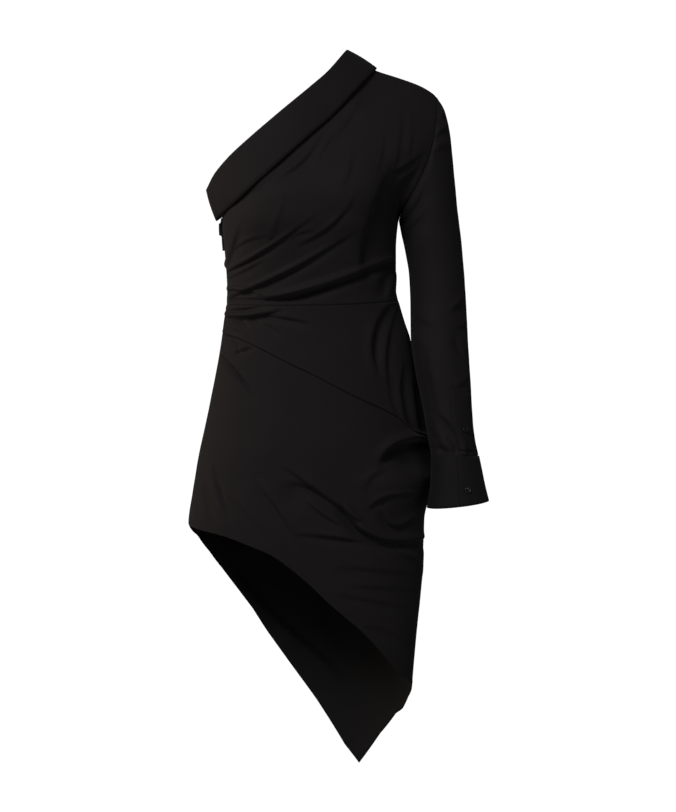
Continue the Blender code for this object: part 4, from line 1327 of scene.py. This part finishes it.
class DRESS_OT_cuff(bpy.types.Operator):
    """Builds the lapped cuff and the strip over the sleeve's slit with their stitches"""

    bl_idname = "dress.cuff"
    bl_label = "Cuff and placket"

    def execute(self, context):
        points = cuff_points()
        # The cuff's and the strip's colours are darkened as painted shade
        cuff = cloth_piece("cuff_cloth", points, ["cuff"], cloth("cuff", doubled=True, shade=CUFF_PAINTED_SHADE),
                           wall=CUFF_WALL, turned=True)
        outer = raised(points, BACK, CUFF_WALL / 2 + STITCH_LIFT - WALL / 2)
        inset = CUFF_STITCH_INSET
        rows = stitches("cuff_stitches", [inset_line(outer, inset), inset_line(outer[::-1], inset)])
        strip_points = placket_points()
        strip = cloth_piece("placket_cloth", strip_points, ["sleeve_placket"],
                            cloth("placket", doubled=True, shade=PLACKET_PAINTED_SHADE), turned=True)
        top = raised(strip_points, BACK, STITCH_LIFT)
        sides = [inset_line(np.swapaxes(turned, 0, 1), PLACKET_STITCH_INSET)
                 for turned in (top, top[:, ::-1])]
        strip_rows = stitches("placket_stitches", sides)
        return {"FINISHED"}


class DRESS_OT_closure(bpy.types.Operator):
    """Builds the stepped end of the closing tape under the collar"""

    bl_idname = "dress.closure"
    bl_label = "Side closure"

    def execute(self, context):
        drop = np.linspace(TAPE_STEPS[0].drop, TAPE_STEPS[-1].drop, TAPE_GRID.down)
        outer = np.interp(drop, [s.drop for s in TAPE_STEPS], [s.x for s in TAPE_STEPS])
        middle, half = middle_and_half(drop)
        inner = middle - half + TAPE_TUCK
        lines = [np.stack([outer + (inner - outer) * share, 0 * drop, -drop], axis=-1)
                 for share in np.linspace(0, 1, TAPE_GRID.across)]
        tape = cloth_piece("side_closure_tape", np.stack(lines, axis=1), ["side_closure"],
                           cloth("tape", doubled=True), wall=TAPE_WALL)
        return {"FINISHED"}


class DRESS_OT_buttons(bpy.types.Operator):
    """Gives the two buttons their resin and sews them on"""

    bl_idname = "dress.buttons"
    bl_label = "Buttons"

    def execute(self, context):
        resin = button_material()
        twine = bpy.data.materials["dress_thread"]
        places = {
            "placket_button": tube_place(placket_cloth, PLACKET_BUTTON_ALONG, PLACKET_BUTTON_DEGREES, WALL / 2),
            "cuff_button": tube_place(cuff_cloth, CUFF_BUTTON_ALONG, CUFF_BUTTON_DEGREES, CUFF_WALL / 2),
        }
        for node, place in places.items():
            button = add_piece(node + "_resin", button_mesh(node + "_resin"), resin, [node])
            thread = add_piece(node + "_thread", button_thread(node + "_thread"), twine)
            button.matrix_world = place
            thread.matrix_world = place
        return {"FINISHED"}


class DRESS_OT_stage(bpy.types.Operator):
    """Sets up the backdrop, the light and the camera"""

    bl_idname = "dress.stage"
    bl_label = "Stage"

    def execute(self, context):
        light = context.scene.dress_light
        backdrop = sweep_mesh("backdrop")
        paper = bpy.data.objects.new("backdrop", backdrop)
        context.scene.collection.objects.link(paper)
        backdrop.materials.append(paper_material())
        key, fill, rim, low = [area_light(lamp, getattr(light, lamp.name + "_power")) for lamp in LAMPS]
        world = bpy.data.worlds.new("studio_room")
        world.use_nodes = True
        tree = world.node_tree
        room = tree.nodes["Background"]
        room.inputs["Color"].default_value = (1, 1, 1, 1)
        path = tree.nodes.new("ShaderNodeLightPath")
        seen = maths(tree, "MULTIPLY", path.outputs["Is Camera Ray"], light.paper_glow - light.sky)
        tree.links.new(maths(tree, "ADD", seen, light.sky), room.inputs["Strength"])
        context.scene.world = world
        context.scene.view_settings.view_transform = "Standard"
        lens = bpy.data.cameras.new("camera")
        lens.sensor_fit = "VERTICAL"
        lens.sensor_height = SENSOR_HEIGHT
        lens.lens = SENSOR_HEIGHT * CAMERA_AWAY / PICTURE_HEIGHT
        lens.clip_end = 50
        camera = bpy.data.objects.new("camera", lens)
        context.scene.collection.objects.link(camera)
        camera.location = (CAMERA_X, -CAMERA_AWAY, CAMERA_Z)
        camera.rotation_euler = (math.pi / 2, 0, 0)
        context.scene.camera = camera
        return {"FINISHED"}


def sweep_mesh(name):
    """Floor and wall in one curved sheet of paper."""
    profile = [(FLOOR_START_Y, FLOOR_Z)]
    for turn in np.linspace(0, math.pi / 2, SWEEP_STEPS):
        profile.append((WALL_Y - SWEEP_RADIUS * (1 - math.sin(turn)),
                        FLOOR_Z + SWEEP_RADIUS * (1 - math.cos(turn))))
    profile.append((WALL_Y, FLOOR_Z + WALL_HEIGHT))
    vertices = [(x, y, z) for y, z in profile for x in (-PAPER_HALF_WIDTH, PAPER_HALF_WIDTH)]
    faces = [(2 * i, 2 * i + 1, 2 * i + 3, 2 * i + 2) for i in range(len(profile) - 1)]
    mesh = bpy.data.meshes.new(name)
    mesh.from_pydata(vertices, [], faces)
    mesh.polygons.foreach_set("use_smooth", np.ones(len(mesh.polygons), bool))
    return mesh


def area_light(lamp, power):
    """A square soft light turned to the middle of the dress."""
    made = bpy.data.lights.new(lamp.name + "_light", "AREA")
    made.shape = "SQUARE"
    made.size = lamp.size
    made.energy = power
    made.color = lamp.colour
    item = bpy.data.objects.new(lamp.name + "_light", made)
    bpy.context.scene.collection.objects.link(item)
    item.location = lamp.place
    way = Vector((CAMERA_X, 0, CAMERA_Z)) - Vector(lamp.place)
    item.rotation_euler = way.to_track_quat("-Z", "Y").to_euler()
    return item


class DRESS_PT_panel(bpy.types.Panel):
    """Lists the pieces of the dress and its settings"""

    bl_idname = "DRESS_PT_panel"
    bl_label = "One-shoulder dress"
    bl_space_type = "VIEW_3D"
    bl_region_type = "UI"
    bl_category = "Dress"

    def draw(self, context):
        for settings in (context.scene.dress_cloth, context.scene.dress_light):
            box = self.layout.box()
            for name in type(settings).__annotations__:
                box.prop(settings, name)
        for step in STEPS:
            self.layout.operator(step.bl_idname)


STEPS = [
    DRESS_OT_finishes,
    DRESS_OT_bodice,
    DRESS_OT_wrap,
    DRESS_OT_skirt,
    DRESS_OT_collar,
    DRESS_OT_sleeve,
    DRESS_OT_cuff,
    DRESS_OT_closure,
    DRESS_OT_buttons,
    DRESS_OT_stage,
]
CLASSES = [DressClothSettings, DressLightSettings, *STEPS, DRESS_PT_panel]


def register():
    """Registers the add-on's classes and settings."""
    for item in CLASSES:
        bpy.utils.register_class(item)
    bpy.types.Scene.dress_cloth = bpy.props.PointerProperty(type=DressClothSettings)
    bpy.types.Scene.dress_light = bpy.props.PointerProperty(type=DressLightSettings)


def unregister():
    """Removes the add-on's classes and settings."""
    del bpy.types.Scene.dress_light
    del bpy.types.Scene.dress_cloth
    for item in reversed(CLASSES):
        bpy.utils.unregister_class(item)


def main():
    """Builds the pieces in order."""
    register()
    for step in STEPS:
        getattr(bpy.ops.dress, step.bl_idname.split(".")[1])()


if __name__ == "__main__":
    main()
